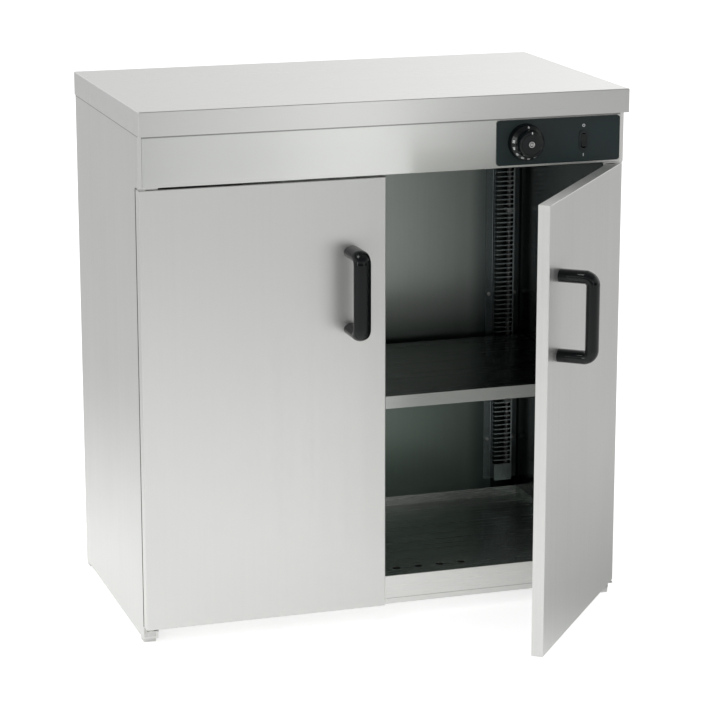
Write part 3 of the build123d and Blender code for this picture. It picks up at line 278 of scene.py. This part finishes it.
# the right door stands open at rest, so its brushing lies turned with it
open_turn = math.radians(51.4)
open_across = (math.cos(open_turn), math.sin(open_turn), 0)
open_door_steel = brushed_sheet("open_door_steel", outer_colour, outer_roughness, across=open_across, upright=1.0,
                                contrast=0.042)
dress(open_door_steel, "right_door_skin", "right_door_liner", "right_door_stiffener")

# ---------------------------------------------------------------- inner lining, tray and shelf
# The warm space is lined with thinner, duller sheet, with painted shade in it. The tray and the shelf are
# folded up at their edges, and slotted guards stand in front of the heating tubes.

lining_steel = brushed_sheet("lining_steel", (0.50, 0.54, 0.52), 0.30, across=(1, 1, 0), upright=1.0,
                             contrast=0.035, bump=0.004, spread=0.5, unevenness=0.02)
# painted shade darkens it below the shelf and towards the side walls, and most of all behind and beside the guards
lining_tree = lining_steel.node_tree
lining_place = place_and_normal(lining_tree)
from_middle = math_node(lining_tree, "ABSOLUTE", lining_place["x"])
guard_low, guard_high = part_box("right_heater_guard")
guard_flange = 0.014
guard_near, guard_far = guard_low[0] + guard_flange, guard_high[0] - guard_flange
for mask, tint in (
    (fade(lining_tree, lining_place["z"], 0.42, 0.36), (0.39, 0.44, 0.41)),
    (fade(lining_tree, from_middle, 0.275, 0.31), (0.50, 0.55, 0.56)),
    (fade(lining_tree, from_middle, guard_far, guard_far + 0.002), (0.16, 0.17, 0.16)),
    (fade(lining_tree, from_middle, 0.333, 0.350), (0.3, 0.3, 0.3)),
    (product(lining_tree, fade(lining_tree, from_middle, guard_near - 0.001, guard_near + 0.002),
             fade(lining_tree, from_middle, guard_high[0], guard_high[0] - 0.003)), (0.2, 0.2, 0.2)),
):
    tint_over(lining_steel, mask, tint)
dress(lining_steel, "inner_rear_wall", "inner_ceiling")
# painted shade: the inner side walls get a near-black colour for the shade that fills them, far darker than their
# steel
shaded_side_lining = brushed_sheet("shaded_side_lining", (0.055, 0.065, 0.06), 0.26, across=(0, 1, 0), upright=1.0,
                                  contrast=0.01, bump=0.004, spread=0.5, unevenness=0.02)
dress(shaded_side_lining, "right_inner_wall", "left_inner_wall")


def top_shaded_sheet(name, bright, top_shade):
    """Sheet that is painted darker on its upper faces, as painted shade, and as bright as the doors on its front
    fold.
    """
    material = brushed_sheet(name, bright, 0.27, across=(0, 1, 1), contrast=0.01, bump=0.004, spread=0.6,
                             unevenness=0.02)
    tree = material.node_tree
    not_front = math_node(tree, "GREATER_THAN", place_and_normal(tree)["ny"], -0.5)
    tint_over(material, not_front, top_shade)
    return material


dress(top_shaded_sheet("shelf_steel", (0.41, 0.42, 0.41), (0.10, 0.125, 0.11)), "shelf", "shelf_ledges")
tray_steel = top_shaded_sheet("tray_steel", (0.81, 0.81, 0.79), (0.46, 0.53, 0.50))
tray_tree = tray_steel.node_tree
tray_tree.nodes["Principled BSDF"].inputs["Metallic"].default_value = 0.8
tray_place = place_and_normal(tray_tree)
tray_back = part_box("bottom_tray")[1][1]
# painted shade makes it darkest along the fold of its rear edge, and its upstand there is bright
toward_fold = fade(tray_tree, tray_place["y"], tray_back - 0.09, tray_back - 0.01)
flat_part = math_node(tray_tree, "GREATER_THAN", tray_place["ny"], -0.5)
tint_over(tray_steel, product(tray_tree, toward_fold, flat_part), (0.44, 0.48, 0.46))
dress(tray_steel, "bottom_tray")
# the guards are bright on their faces, with painted shade on their flanges, their sides and next to the side walls
guard_steel = brushed_sheet("guard_steel", (0.50, 0.55, 0.56), 0.26, across=(1, 1, 0), upright=1.0, contrast=0.01,
                            bump=0.004, spread=0.4, unevenness=0.03)
guard_tree = guard_steel.node_tree
guard_place = place_and_normal(guard_tree)
guard_across = math_node(guard_tree, "ABSOLUTE", guard_place["x"])
for mask, tint in (
    (fade(guard_tree, math_node(guard_tree, "ABSOLUTE", guard_place["nx"]), 0.15, 0.5), (0.14, 0.15, 0.15)),
    (fade(guard_tree, guard_across, guard_near - 0.0005, guard_near - 0.0015), (0.52, 0.55, 0.55)),
    (fade(guard_tree, guard_across, guard_far - 0.001, guard_far + 0.001), (0.16, 0.17, 0.17)),
):
    tint_over(guard_steel, mask, tint)
dress(guard_steel, "right_heater_guard", "left_heater_guard")

# ---------------------------------------------------------------- heating elements and thermostat sensor
# Each guard hides a sheathed heating tube, bent double and oxidised dark by use. The thermostat feels the heat
# with a copper bulb, clipped under the ceiling, through a thin copper tube.


def worn_metal(name, dark, light, roughness, scale):
    """Unbrushed metal with a patchy tone, such as plated or oxidised parts."""
    material, tree, shader = new_material(name)
    place = add_node(tree, "ShaderNodeTexCoord")
    patch = add_node(tree, "ShaderNodeTexNoise", in_Scale=scale, in_Detail=5.0, in_Roughness=0.6)
    tree.links.new(place.outputs["Object"], patch.inputs["Vector"])
    tree.links.new(ramp_between(tree, patch.outputs["Fac"], dark, light), shader.inputs["Base Color"])
    tree.links.new(ramp_between(tree, patch.outputs["Fac"], roughness * 0.8, roughness * 1.3),
                   shader.inputs["Roughness"])
    shader.inputs["Metallic"].default_value = 1.0
    raised = add_node(tree, "ShaderNodeBump", in_Strength=0.2, in_Distance=0.0002)
    tree.links.new(patch.outputs["Fac"], raised.inputs["Height"])
    tree.links.new(raised.outputs["Normal"], shader.inputs["Normal"])
    return material


tube_metal = worn_metal("tube_metal", (0.16, 0.155, 0.15), (0.26, 0.25, 0.24), 0.4, 90.0)
dress(tube_metal, "right_heating_element", "left_heating_element")
copper_metal = worn_metal("copper_metal", (0.62, 0.33, 0.22), (0.76, 0.44, 0.30), 0.35, 120.0)
dress(copper_metal, "thermostat_capillary", "thermostat_bulb")
plated_metal = worn_metal("plated_metal", (0.50, 0.50, 0.48), (0.66, 0.66, 0.65), 0.32, 160.0)
dress(plated_metal, "element_supports", "element_flanges", "bulb_clips", "knob_spindle")
# the hinges, the brace under the worktop and the rivets of the tray's apron are plated in the same way
dress(plated_metal, "right_upper_hinge", "right_lower_hinge", "left_upper_hinge", "left_lower_hinge",
      "worktop_brace", "tray_rivets")

# ---------------------------------------------------------------- handles
# Glossy black plastic bow handles with an oval grip, moulded in one piece. Each is held by two screws from
# behind the door's skin.


def moulded_plastic(name, colour, roughness, grain=0.15, scale=900.0, shine=0.5):
    """Moulded plastic with slightly uneven gloss, and a faint grain of so many specks in a metre."""
    material, tree, shader = new_material(name)
    place = add_node(tree, "ShaderNodeTexCoord")
    fine = add_node(tree, "ShaderNodeTexNoise", in_Scale=scale, in_Detail=3.0, in_Roughness=0.6)
    wide = add_node(tree, "ShaderNodeTexNoise", in_Scale=22.0, in_Detail=2.0, in_Roughness=0.5)
    shader.inputs["Specular IOR Level"].default_value = shine
    tree.links.new(place.outputs["Object"], fine.inputs["Vector"])
    tree.links.new(place.outputs["Object"], wide.inputs["Vector"])
    tone = ramp_between(tree, wide.outputs["Fac"], *dark_and_light(colour, 0.15))
    tree.links.new(tone, shader.inputs["Base Color"])
    tree.links.new(ramp_between(tree, wide.outputs["Fac"], roughness * 0.88, roughness * 1.12),
                   shader.inputs["Roughness"])
    raised = add_node(tree, "ShaderNodeBump", in_Strength=grain, in_Distance=0.0001)
    tree.links.new(fine.outputs["Fac"], raised.inputs["Height"])
    tree.links.new(raised.outputs["Normal"], shader.inputs["Normal"])
    return material


handle_plastic = moulded_plastic("handle_plastic", (0.003, 0.004, 0.0045), 0.10, grain=0.04, shine=0.3)
dress(handle_plastic, "left_door_handle", "right_door_handle")

# ---------------------------------------------------------------- screws
# Small pan-head screws with a cross recess hold the rear panel, the guards, the ledges and the handles.
# They are plated steel, and each was left at its own turn.


def cross_head_screw_tree():
    """A geometry tree that puts a cross-head screw on each point, facing the way that the point stores.

    Its sizes are in millimetres, because the boolean of the cross is steadier on larger numbers.
    """
    tree = bpy.data.node_groups.new("cross_head_screws", "GeometryNodeTree")
    tree.interface.new_socket(name="Geometry", in_out="INPUT", socket_type="NodeSocketGeometry")
    for label, value in (("Head Radius", 3.0), ("Head Height", 2.0), ("Shank Radius", 1.5), ("Shank Length", 3.0)):
        tree.interface.new_socket(name=label, in_out="INPUT", socket_type="NodeSocketFloat").default_value = value
    tree.interface.new_socket(name="Metal", in_out="INPUT", socket_type="NodeSocketMaterial")
    tree.interface.new_socket(name="Geometry", in_out="OUTPUT", socket_type="NodeSocketGeometry")
    entry = tree.nodes.new("NodeGroupInput").outputs
    leave = tree.nodes.new("NodeGroupOutput")
    radius, height = entry["Head Radius"], entry["Head Height"]

    head = add_node(tree, "GeometryNodeMeshCylinder", fill_type="TRIANGLE_FAN", in_Vertices=20, in_Side_Segments=2,
                    in_Fill_Segments=4)
    tree.links.new(radius, head.inputs["Radius"])
    tree.links.new(height, head.inputs["Depth"])
    # the upper face falls away towards its rim
    here = add_node(tree, "ShaderNodeSeparateXYZ")
    tree.links.new(tree.nodes.new("GeometryNodeInputPosition").outputs[0], here.inputs[0])
    flat = add_node(tree, "ShaderNodeCombineXYZ")
    tree.links.new(here.outputs["X"], flat.inputs["X"])
    tree.links.new(here.outputs["Y"], flat.inputs["Y"])
    out = add_node(tree, "ShaderNodeVectorMath", operation="LENGTH")
    tree.links.new(flat.outputs[0], out.inputs[0])
    share = math_node(tree, "POWER", math_node(tree, "DIVIDE", out.outputs["Value"], radius), 3.0)
    upper = math_node(tree, "GREATER_THAN", here.outputs["Z"], math_node(tree, "MULTIPLY", height, 0.4))
    drop = product(tree, share, upper, math_node(tree, "MULTIPLY", height, -0.45))
    fall = add_node(tree, "ShaderNodeCombineXYZ")
    tree.links.new(drop, fall.inputs["Z"])
    domed = tree.nodes.new("GeometryNodeSetPosition")
    tree.links.new(head.outputs["Mesh"], domed.inputs["Geometry"])
    tree.links.new(fall.outputs[0], domed.inputs["Offset"])

    def lifted(source, height_socket):
        """A mesh moved up by a height."""
        shift = add_node(tree, "ShaderNodeCombineXYZ")
        tree.links.new(height_socket, shift.inputs["Z"])
        moved = tree.nodes.new("GeometryNodeTransform")
        tree.links.new(source, moved.inputs["Geometry"])
        tree.links.new(shift.outputs[0], moved.inputs["Translation"])
        return moved.outputs[0]

    recess = tree.nodes.new("GeometryNodeMeshBoolean")
    recess.operation = "DIFFERENCE"
    tree.links.new(lifted(domed.outputs[0], math_node(tree, "MULTIPLY", height, 0.5)), recess.inputs[0])
    long_side = math_node(tree, "MULTIPLY", radius, 1.15)
    short_side = math_node(tree, "MULTIPLY", radius, 0.26)
    for sides in ((long_side, short_side), (short_side, long_side)):
        size = add_node(tree, "ShaderNodeCombineXYZ")
        tree.links.new(sides[0], size.inputs["X"])
        tree.links.new(sides[1], size.inputs["Y"])
        tree.links.new(math_node(tree, "MULTIPLY", height, 1.2), size.inputs["Z"])
        cutter = tree.nodes.new("GeometryNodeMeshCube")
        tree.links.new(size.outputs[0], cutter.inputs["Size"])
        tree.links.new(lifted(cutter.outputs[0], height), recess.inputs[1])
    shank = add_node(tree, "GeometryNodeMeshCylinder", in_Vertices=12)
    tree.links.new(entry["Shank Radius"], shank.inputs["Radius"])
    tree.links.new(entry["Shank Length"], shank.inputs["Depth"])
    screw = tree.nodes.new("GeometryNodeJoinGeometry")
    shank_middle = math_node(tree, "MULTIPLY", entry["Shank Length"], -0.5)
    tree.links.new(recess.outputs[0], screw.inputs[0])
    tree.links.new(lifted(shank.outputs[0], shank_middle), screw.inputs[0])

    # each screw faces its own way, is turned at random and is brought to metres
    facing = add_node(tree, "GeometryNodeInputNamedAttribute", data_type="FLOAT_VECTOR", in_Name="facing")
    turned = add_node(tree, "FunctionNodeAlignRotationToVector", axis="Z")
    tree.links.new(facing.outputs["Attribute"], turned.inputs["Vector"])
    twist = add_node(tree, "FunctionNodeRandomValue", data_type="FLOAT")
    twist.inputs[3].default_value = math.pi / 2
    twist.inputs["Seed"].default_value = 7
    spin = add_node(tree, "FunctionNodeAxisAngleToRotation", in_Axis=(0, 0, 1))
    tree.links.new(twist.outputs[1], spin.inputs["Angle"])
    both = add_node(tree, "FunctionNodeRotateRotation", rotation_space="LOCAL")
    tree.links.new(turned.outputs[0], both.inputs[0])
    tree.links.new(spin.outputs[0], both.inputs[1])
    placed = add_node(tree, "GeometryNodeInstanceOnPoints", in_Scale=(0.001, 0.001, 0.001))
    tree.links.new(entry["Geometry"], placed.inputs["Points"])
    tree.links.new(screw.outputs[0], placed.inputs["Instance"])
    tree.links.new(both.outputs[0], placed.inputs["Rotation"])
    real = tree.nodes.new("GeometryNodeRealizeInstances")
    tree.links.new(placed.outputs[0], real.inputs[0])
    finished = tree.nodes.new("GeometryNodeSetMaterial")
    tree.links.new(real.outputs[0], finished.inputs["Geometry"])
    tree.links.new(entry["Metal"], finished.inputs["Material"])
    tree.links.new(finished.outputs[0], leave.inputs[0])
    return tree


cross_head_screws = cross_head_screw_tree()
head_height = 0.002


def screw_places(node, along):
    """Where a CAD node's screws sit, which all lie along one way: (foot of the head, facing, length behind)."""
    # corners nearer to one another than this are on one screw, and those this near its end lie on that end
    screw_reach, end_depth = 0.02, 0.0004
    groups = []
    for vertex in nodes[node].data.vertices:
        near = [group for group in groups if (group[0] - vertex.co).length < screw_reach]
        if near:
            near[0].append(vertex.co.copy())
        else:
            groups.append([vertex.co.copy()])
    places = []
    along = Vector(along).normalized()
    for group in groups:
        low, high = min(map(along.dot, group)), max(map(along.dot, group))
        middle = sum((point - along * along.dot(point) for point in group), Vector()) / len(group)
        # the head is at the wider end
        wide = {
            side: max((point - along * along.dot(point) - middle).length for point in group
                      if abs(along.dot(point) - end) < end_depth)
            for side, end in ((-1, low), (1, high))
        }
        side = max(wide, key=wide.get)
        foot = (high if side > 0 else low) - side * head_height
        places.append((middle + along * foot, along * side, high - low - head_height))
    return places


def add_object(name, data):
    """A new object in the scene, at the origin."""
    thing = bpy.data.objects.new(name, data)
    bpy.context.scene.collection.objects.link(thing)
    return thing


def screw_set(name, body, node, along):
    """The screws of one CAD node, made by the tree as one mesh."""
    places = screw_places(node, along)
    mesh = bpy.data.meshes.new(name)
    mesh.from_pydata([place for place, facing, length in places], [], [])
    ways = mesh.attributes.new("facing", "FLOAT_VECTOR", "POINT")
    for entry, (place, facing, length) in zip(ways.data, places):
        entry.vector = facing
    screws = add_object(name, mesh)
    maker = screws.modifiers.new("screws", "NODES")
    maker.node_group = cross_head_screws
    sockets = cross_head_screws.interface.items_tree
    inputs = {item.name: item.identifier for item in sockets if item.in_out == "INPUT"}
    maker[inputs["Head Height"]] = head_height * 1000
    maker[inputs["Shank Length"]] = places[0][2] * 1000
    maker[inputs["Metal"]] = plated_metal
    graph = bpy.context.evaluated_depsgraph_get()
    solid = bpy.data.meshes.new_from_object(screws.evaluated_get(graph), depsgraph=graph)
    screws.modifiers.clear()
    screws.data = solid
    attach(screws, body)
    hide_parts(node)


screw_set("rear_panel_screws", "cabinet", "rear_screws", (0, 1, 0))
screw_set("guard_fixing_screws", "cabinet", "guard_screws", (0, 1, 0))
screw_set("ledge_fixing_screws", "cabinet", "ledge_screws", (1, 0, 0))
screw_set("left_handle_fixings", "left_door", "left_door_handle_screws", (0, 1, 0))
through_open_door = (-math.sin(open_turn), math.cos(open_turn), 0)
screw_set("right_handle_fixings", "right_door", "right_door_handle_screws", through_open_door)

# ---------------------------------------------------------------- control panel, knob and switch
# A thin dark panel with a satin face lies on the fascia. It has openings for the rocker switch and for the neck
# behind the thermostat's moulded knob. The marks on it and on the knob are printed in white.

panel_paint = moulded_plastic("panel_paint", (0.0095, 0.0205, 0.0215), 0.42, grain=0.1, scale=1500.0, shine=0.35)
dress(panel_paint, "control_panel")
knob_plastic = moulded_plastic("knob_plastic", (0.004, 0.0055, 0.006), 0.14, grain=0.05, shine=0.32)
dress(knob_plastic, "thermostat_knob", "switch_rocker")


def riding_piece(name, body, material, points, faces):
    """A piece made of points and faces, which rides on a body."""
    mesh = bpy.data.meshes.new(name)
    mesh.from_pydata(points, [], faces)
    mesh.materials.append(material)
    piece = add_object(name, mesh)
    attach(piece, body)
    return piece


def printed(name, body, marks, height, lift):
    """Printed characters: each mark is (text, a function that takes its u, v and lift to a place)."""
    # a capital letter is as tall as its type size divided by this
    type_size = 1.38 * height
    bolder = 0.00012
    points, faces = [], []
    for text, onto in marks:
        letters = bpy.data.curves.new(name, "FONT")
        letters.body = text
        letters.size = type_size
        letters.align_x = "CENTER"
        letters.align_y = "CENTER"
        letters.offset = bolder
        writer = add_object(name, letters)
        shape = bpy.data.meshes.new_from_object(writer)
        first = len(points)
        points += [onto(vertex.co.x, vertex.co.y, lift) for vertex in shape.vertices]
        faces += [tuple(first + corner for corner in face.vertices) for face in shape.polygons]
        bpy.data.objects.remove(writer)
    riding_piece(name, body, print_paint, points, faces)


print_paint = moulded_plastic("print_paint", (0.78, 0.80, 0.80), 0.5, grain=0.05)
panel_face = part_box("control_panel")[0][1]


def front_middle(node):
    """The x and z of the middle of a CAD piece, seen from the front."""
    low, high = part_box(node)
    return (low[0] + high[0]) / 2, (low[2] + high[2]) / 2


switch_x, switch_z = front_middle("switch_housing")


def above_switch(rise):
    """Places a character on the panel's face, at a height above the switch's middle."""
    return lambda u, v, lift: (switch_x + u, panel_face - lift, switch_z + rise + v)


off_rise, on_rise = 0.0241, -0.0229
printed("switch_marks", "cabinet", [("O", above_switch(off_rise)), ("I", above_switch(on_rise))],
        height=0.0045, lift=0.00004)

# the dial's numbers stand round the knob's sloping shoulder, from its off mark at the top
knob_low, knob_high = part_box("thermostat_knob")
knob_x, knob_z = front_middle("thermostat_knob")
# radius and depth of the shoulder's two ends
shoulder_out, shoulder_in = (0.0278, knob_high[1] - 0.011), (0.022, knob_high[1] - 0.016)


def round_knob(radius, y, turn):
    """A point at a radius round the knob's axis, at an angle from its top."""
    return (knob_x + radius * math.sin(turn), y, knob_z + radius * math.cos(turn))


def on_shoulder(angle):
    """Places a character on the sloping shoulder, upright from the knob's middle, at an angle from the top."""
    run = (shoulder_out[0] - shoulder_in[0], shoulder_out[1] - shoulder_in[1])
    length = math.hypot(*run)

    def onto(u, v, lift):
        share = 0.5 + v / length
        radius = shoulder_in[0] + run[0] * share + lift * run[1] / length
        depth = shoulder_in[1] + run[1] * share - lift * run[0] / length
        return round_knob(radius, depth, angle + u / radius)

    return onto


print_lift = 0.00006
# in degrees from the top, against the clock
first_number, number_step = -82, -25
dial_marks = [("0", on_shoulder(0.0))]
for step, number in enumerate(("30", "40", "50", "60", "70", "80", "90")):
    dial_marks.append((number, on_shoulder(math.radians(first_number + number_step * step))))
printed("dial_numbers", "knob", dial_marks, height=0.0036, lift=print_lift)

# a pointer line is printed at the top of the knob's grip, outside its hollow
pointer_low, pointer_high, pointer_half = 0.0166, 0.0201, 0.0007
pointer_corners = ((-1, pointer_low), (1, pointer_low), (1, pointer_high), (-1, pointer_high))
riding_piece("pointer_mark", "knob", print_paint,
             [(knob_x + side * pointer_half, knob_low[1] - print_lift, knob_z + radius)
              for side, radius in pointer_corners], [(0, 1, 2, 3)])

# the slotted end of the spindle stands in a plated ring at the middle of the knob
insert_front, insert_back = (corner[1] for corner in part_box("knob_insert"))


def turned_ring(inner, outer, front, back, steps=40):
    """Quads of a ring round the knob's axis, with chamfered front edges."""
    edge = 0.0003
    section = [
        (inner, back), (inner, front + edge), (inner + edge, front), (outer - edge, front),
        (outer, front + edge), (outer, back),
    ]
    faces = []
    for step in range(steps):
        now, after = (2 * math.pi * (step + more) / steps for more in (0, 1))
        for first, second in zip(section, section[1:] + section[:1]):
            corners = ((first, now), (second, now), (second, after), (first, after))
            faces.append([round_knob(*place, turn) for place, turn in corners])
    return faces


def half_disc(side, radius, gap, front, back, steps=14):
    """Faces of one half of a slotted round end; the slot stands upright."""
    start = math.asin(gap / radius)
    rim = [start + (math.pi - 2 * start) * step / steps for step in range(steps + 1)]
    fronts = [round_knob(radius, front, side * turn) for turn in rim]
    backs = [(x, back, z) for x, y, z in fronts]
    faces = [fronts[::side], backs[::-side]]
    for first in range(len(fronts)):
        second = (first + 1) % len(fronts)
        wall = [fronts[first], backs[first], backs[second], fronts[second]]
        faces.append(wall[::side])
    return faces


ring_inner, ring_outer = 0.0037, 0.0047
outlines = turned_ring(ring_inner, ring_outer, insert_front, insert_back)
end_radius, slot_half, set_back = 0.0024, 0.0006, 0.0002
for side in (-1, 1):
    outlines += half_disc(side, end_radius, slot_half, insert_front + set_back, insert_back)
insert_points, insert_faces = [], []
for outline in outlines:
    insert_faces.append(tuple(range(len(insert_points), len(insert_points) + len(outline))))
    insert_points += outline
insert_metal = worn_metal("insert_metal", (0.80, 0.80, 0.79), (0.92, 0.92, 0.91), 0.42, 300.0)
insert = riding_piece("knob_centre", "knob", insert_metal, insert_points, insert_faces)
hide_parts("knob_insert")
shell = bmesh.new()
shell.from_mesh(insert.data)
bmesh.ops.remove_doubles(shell, verts=shell.verts, dist=0.000001)
bmesh.ops.recalc_face_normals(shell, faces=shell.faces)
shell.to_mesh(insert.data)
shell.free()

# ---------------------------------------------------------------- other plastic and rubber pieces
# The switch's and the thermostat's housings, the cable gland and the wires are dark plastic. The feet, the
# door bushes and the terminal block are pale nylon, and the door magnets are in black rubber.

housing_plastic = moulded_plastic("housing_plastic", (0.010, 0.015, 0.016), 0.42, shine=0.35)
dress(housing_plastic, "switch_housing", "thermostat_body", "cable_gland", "gland_nut", "wiring")
magnet_rubber = moulded_plastic("magnet_rubber", (0.03, 0.03, 0.03), 0.6)
dress(magnet_rubber, "left_door_magnet", "right_door_magnet")
nylon_plastic = moulded_plastic("nylon_plastic", (0.74, 0.73, 0.68), 0.45)
dress(nylon_plastic, "left_door_bushes", "right_door_bushes", "terminal_block")
foot_plastic = moulded_plastic("foot_plastic", (0.80, 0.80, 0.78), 0.5)
dress(foot_plastic, "feet")

# ---------------------------------------------------------------- studio
# A white floor and surround. A soft lamp hangs above on the left, a tall one stands on the left, and two
# narrow ones in front on the right draw the sheen across the sheet.

bpy.ops.mesh.primitive_plane_add(size=60)
floor = bpy.context.object
floor.name = "floor"
floor_paint, floor_tree, floor_shader = new_material("floor_paint")
floor_shader.inputs["Base Color"].default_value = (0.80, 0.80, 0.80, 1)
floor_shader.inputs["Roughness"].default_value = 0.9
floor_shader.inputs["Specular IOR Level"].default_value = 0.0
# the floor glows with a painted pool of light that only reflections see, which fades with the distance from the
# cabinet, sooner at the back than in front; on the right it is left out, as a painted shadow of the cabinet
spot = add_node(floor_tree, "ShaderNodeTexCoord")
spot_parts = add_node(floor_tree, "ShaderNodeSeparateXYZ")
floor_tree.links.new(spot.outputs["Object"], spot_parts.inputs[0])
reach = add_node(floor_tree, "ShaderNodeVectorMath", operation="LENGTH")
floor_tree.links.new(spot.outputs["Object"], reach.inputs[0])
near_level = fade(floor_tree, spot_parts.outputs["Y"], -0.6, 0.4, 0.45, 0.56)
how_far = fade(floor_tree, spot_parts.outputs["Y"], -0.6, 0.4, 3.6, 1.8)
left_part = fade(floor_tree, spot_parts.outputs["X"], 0.1, 0.5, 1.0, 0.0)
painted_pool = product(floor_tree, fade(floor_tree, reach.outputs["Value"], 0.3, how_far, near_level, 0.03),
               fade(floor_tree, spot_parts.outputs["Y"], -1.1, -0.6, 1.0, left_part))
path = add_node(floor_tree, "ShaderNodeLightPath")
mirrored = math_node(floor_tree, "MAXIMUM", path.outputs["Is Glossy Ray"], path.outputs["Is Transmission Ray"])
shown = product(floor_tree, mirrored, painted_pool)
white_level = 0.63
shown = math_node(floor_tree, "MULTIPLY_ADD", path.outputs["Is Camera Ray"], white_level, shown)
floor_shader.inputs["Emission Color"].default_value = (1, 1, 1, 1)
floor_tree.links.new(shown, floor_shader.inputs["Emission Strength"])
floor.data.materials.append(floor_paint)

world = bpy.data.worlds.new("studio")
bpy.context.scene.world = world
world.use_nodes = True
world_tree = world.node_tree
surround = world_tree.nodes["Background"]
surround.inputs["Color"].default_value = (1, 1, 1, 1)
ray = add_node(world_tree, "ShaderNodeLightPath")
direct = math_node(world_tree, "MAXIMUM", ray.outputs["Is Glossy Ray"], ray.outputs["Is Transmission Ray"])
# metal sees a bright backdrop behind the cabinet, brightest right of the middle, under a dark ceiling, and in
# front the dim half of the studio, which is lighter higher up
way = add_node(world_tree, "ShaderNodeTexCoord")
way_parts = add_node(world_tree, "ShaderNodeSeparateXYZ")
world_tree.links.new(way.outputs["Generated"], way_parts.inputs[0])
front_level = fade(world_tree, way_parts.outputs["X"], 0.3, 0.6, 0.16, 0.05)
front_level = fade(world_tree, way_parts.outputs["Z"], 0.18, 0.34, front_level, 0.62)
back_level = product(world_tree, fade(world_tree, way_parts.outputs["X"], 0.15, 0.45, 1.00, 1.46),
                     fade(world_tree, way_parts.outputs["X"], 0.5, 0.8, 1.0, 0.68))
around = product(world_tree, fade(world_tree, way_parts.outputs["Y"], -0.75, 0.25, front_level, back_level),
                 fade(world_tree, way_parts.outputs["Z"], 0.42, 0.72, 1.0, 0.30), direct)
# all else is lit at an even level, and the camera sees white
even_level = 0.73
level = math_node(world_tree, "MULTIPLY_ADD", math_node(world_tree, "SUBTRACT", 1.0, direct), even_level, around)
surround_level = math_node(world_tree, "MAXIMUM", level, ray.outputs["Is Camera Ray"])
world_tree.links.new(surround_level, surround.inputs["Strength"])


def soft_light(name, place, target, size, power):
    """A soft light of a width and height that looks at a point."""
    lamp = bpy.data.lights.new(name, "AREA")
    lamp.shape = "RECTANGLE"
    lamp.size, lamp.size_y = size
    lamp.energy = power
    holder = add_object(name, lamp)
    holder.location = place
    holder.rotation_euler = (Vector(target) - Vector(place)).to_track_quat("-Z", "Y").to_euler()
    holder.visible_camera = False


soft_light("top_light", (-1.0, -0.4, 2.9), (0, 0, 0.3), (0.9, 0.9), 12)
soft_light("front_strip", (1.19, -4.0, 1.2), (0.2, 0, 1.0), (0.48, 2.2), 2.2)
soft_light("front_fill", (0.98, -4.05, 1.2), (0.2, 0, 1.0), (0.9, 2.2), 2.8)
soft_light("left_box", (-3.3, -2.4, 1.35), (0, 0, 0.6), (0.7, 2.0), 13)

# ---------------------------------------------------------------- camera
# It stands in front on the left, above the worktop's height, and looks down at the cabinet through a long
# lens. The lens and the shift are written in pixels of a picture 720 wide.

camera = add_object("camera", bpy.data.cameras.new("camera"))
camera.location = (-1.319, -4.158, 1.487)
looks_down, looks_right = math.radians(13.93), math.radians(17.92)
camera.rotation_euler = (math.pi / 2 - looks_down, 0, -looks_right)
picture_width = 720
camera.data.sensor_width = 36
camera.data.lens = 2704 / picture_width * camera.data.sensor_width
camera.data.shift_x = -1 / picture_width
camera.data.shift_y = -11 / picture_width
camera.data.clip_end = 200
bpy.context.scene.camera = camera
bpy.context.scene.view_settings.view_transform = "Standard"
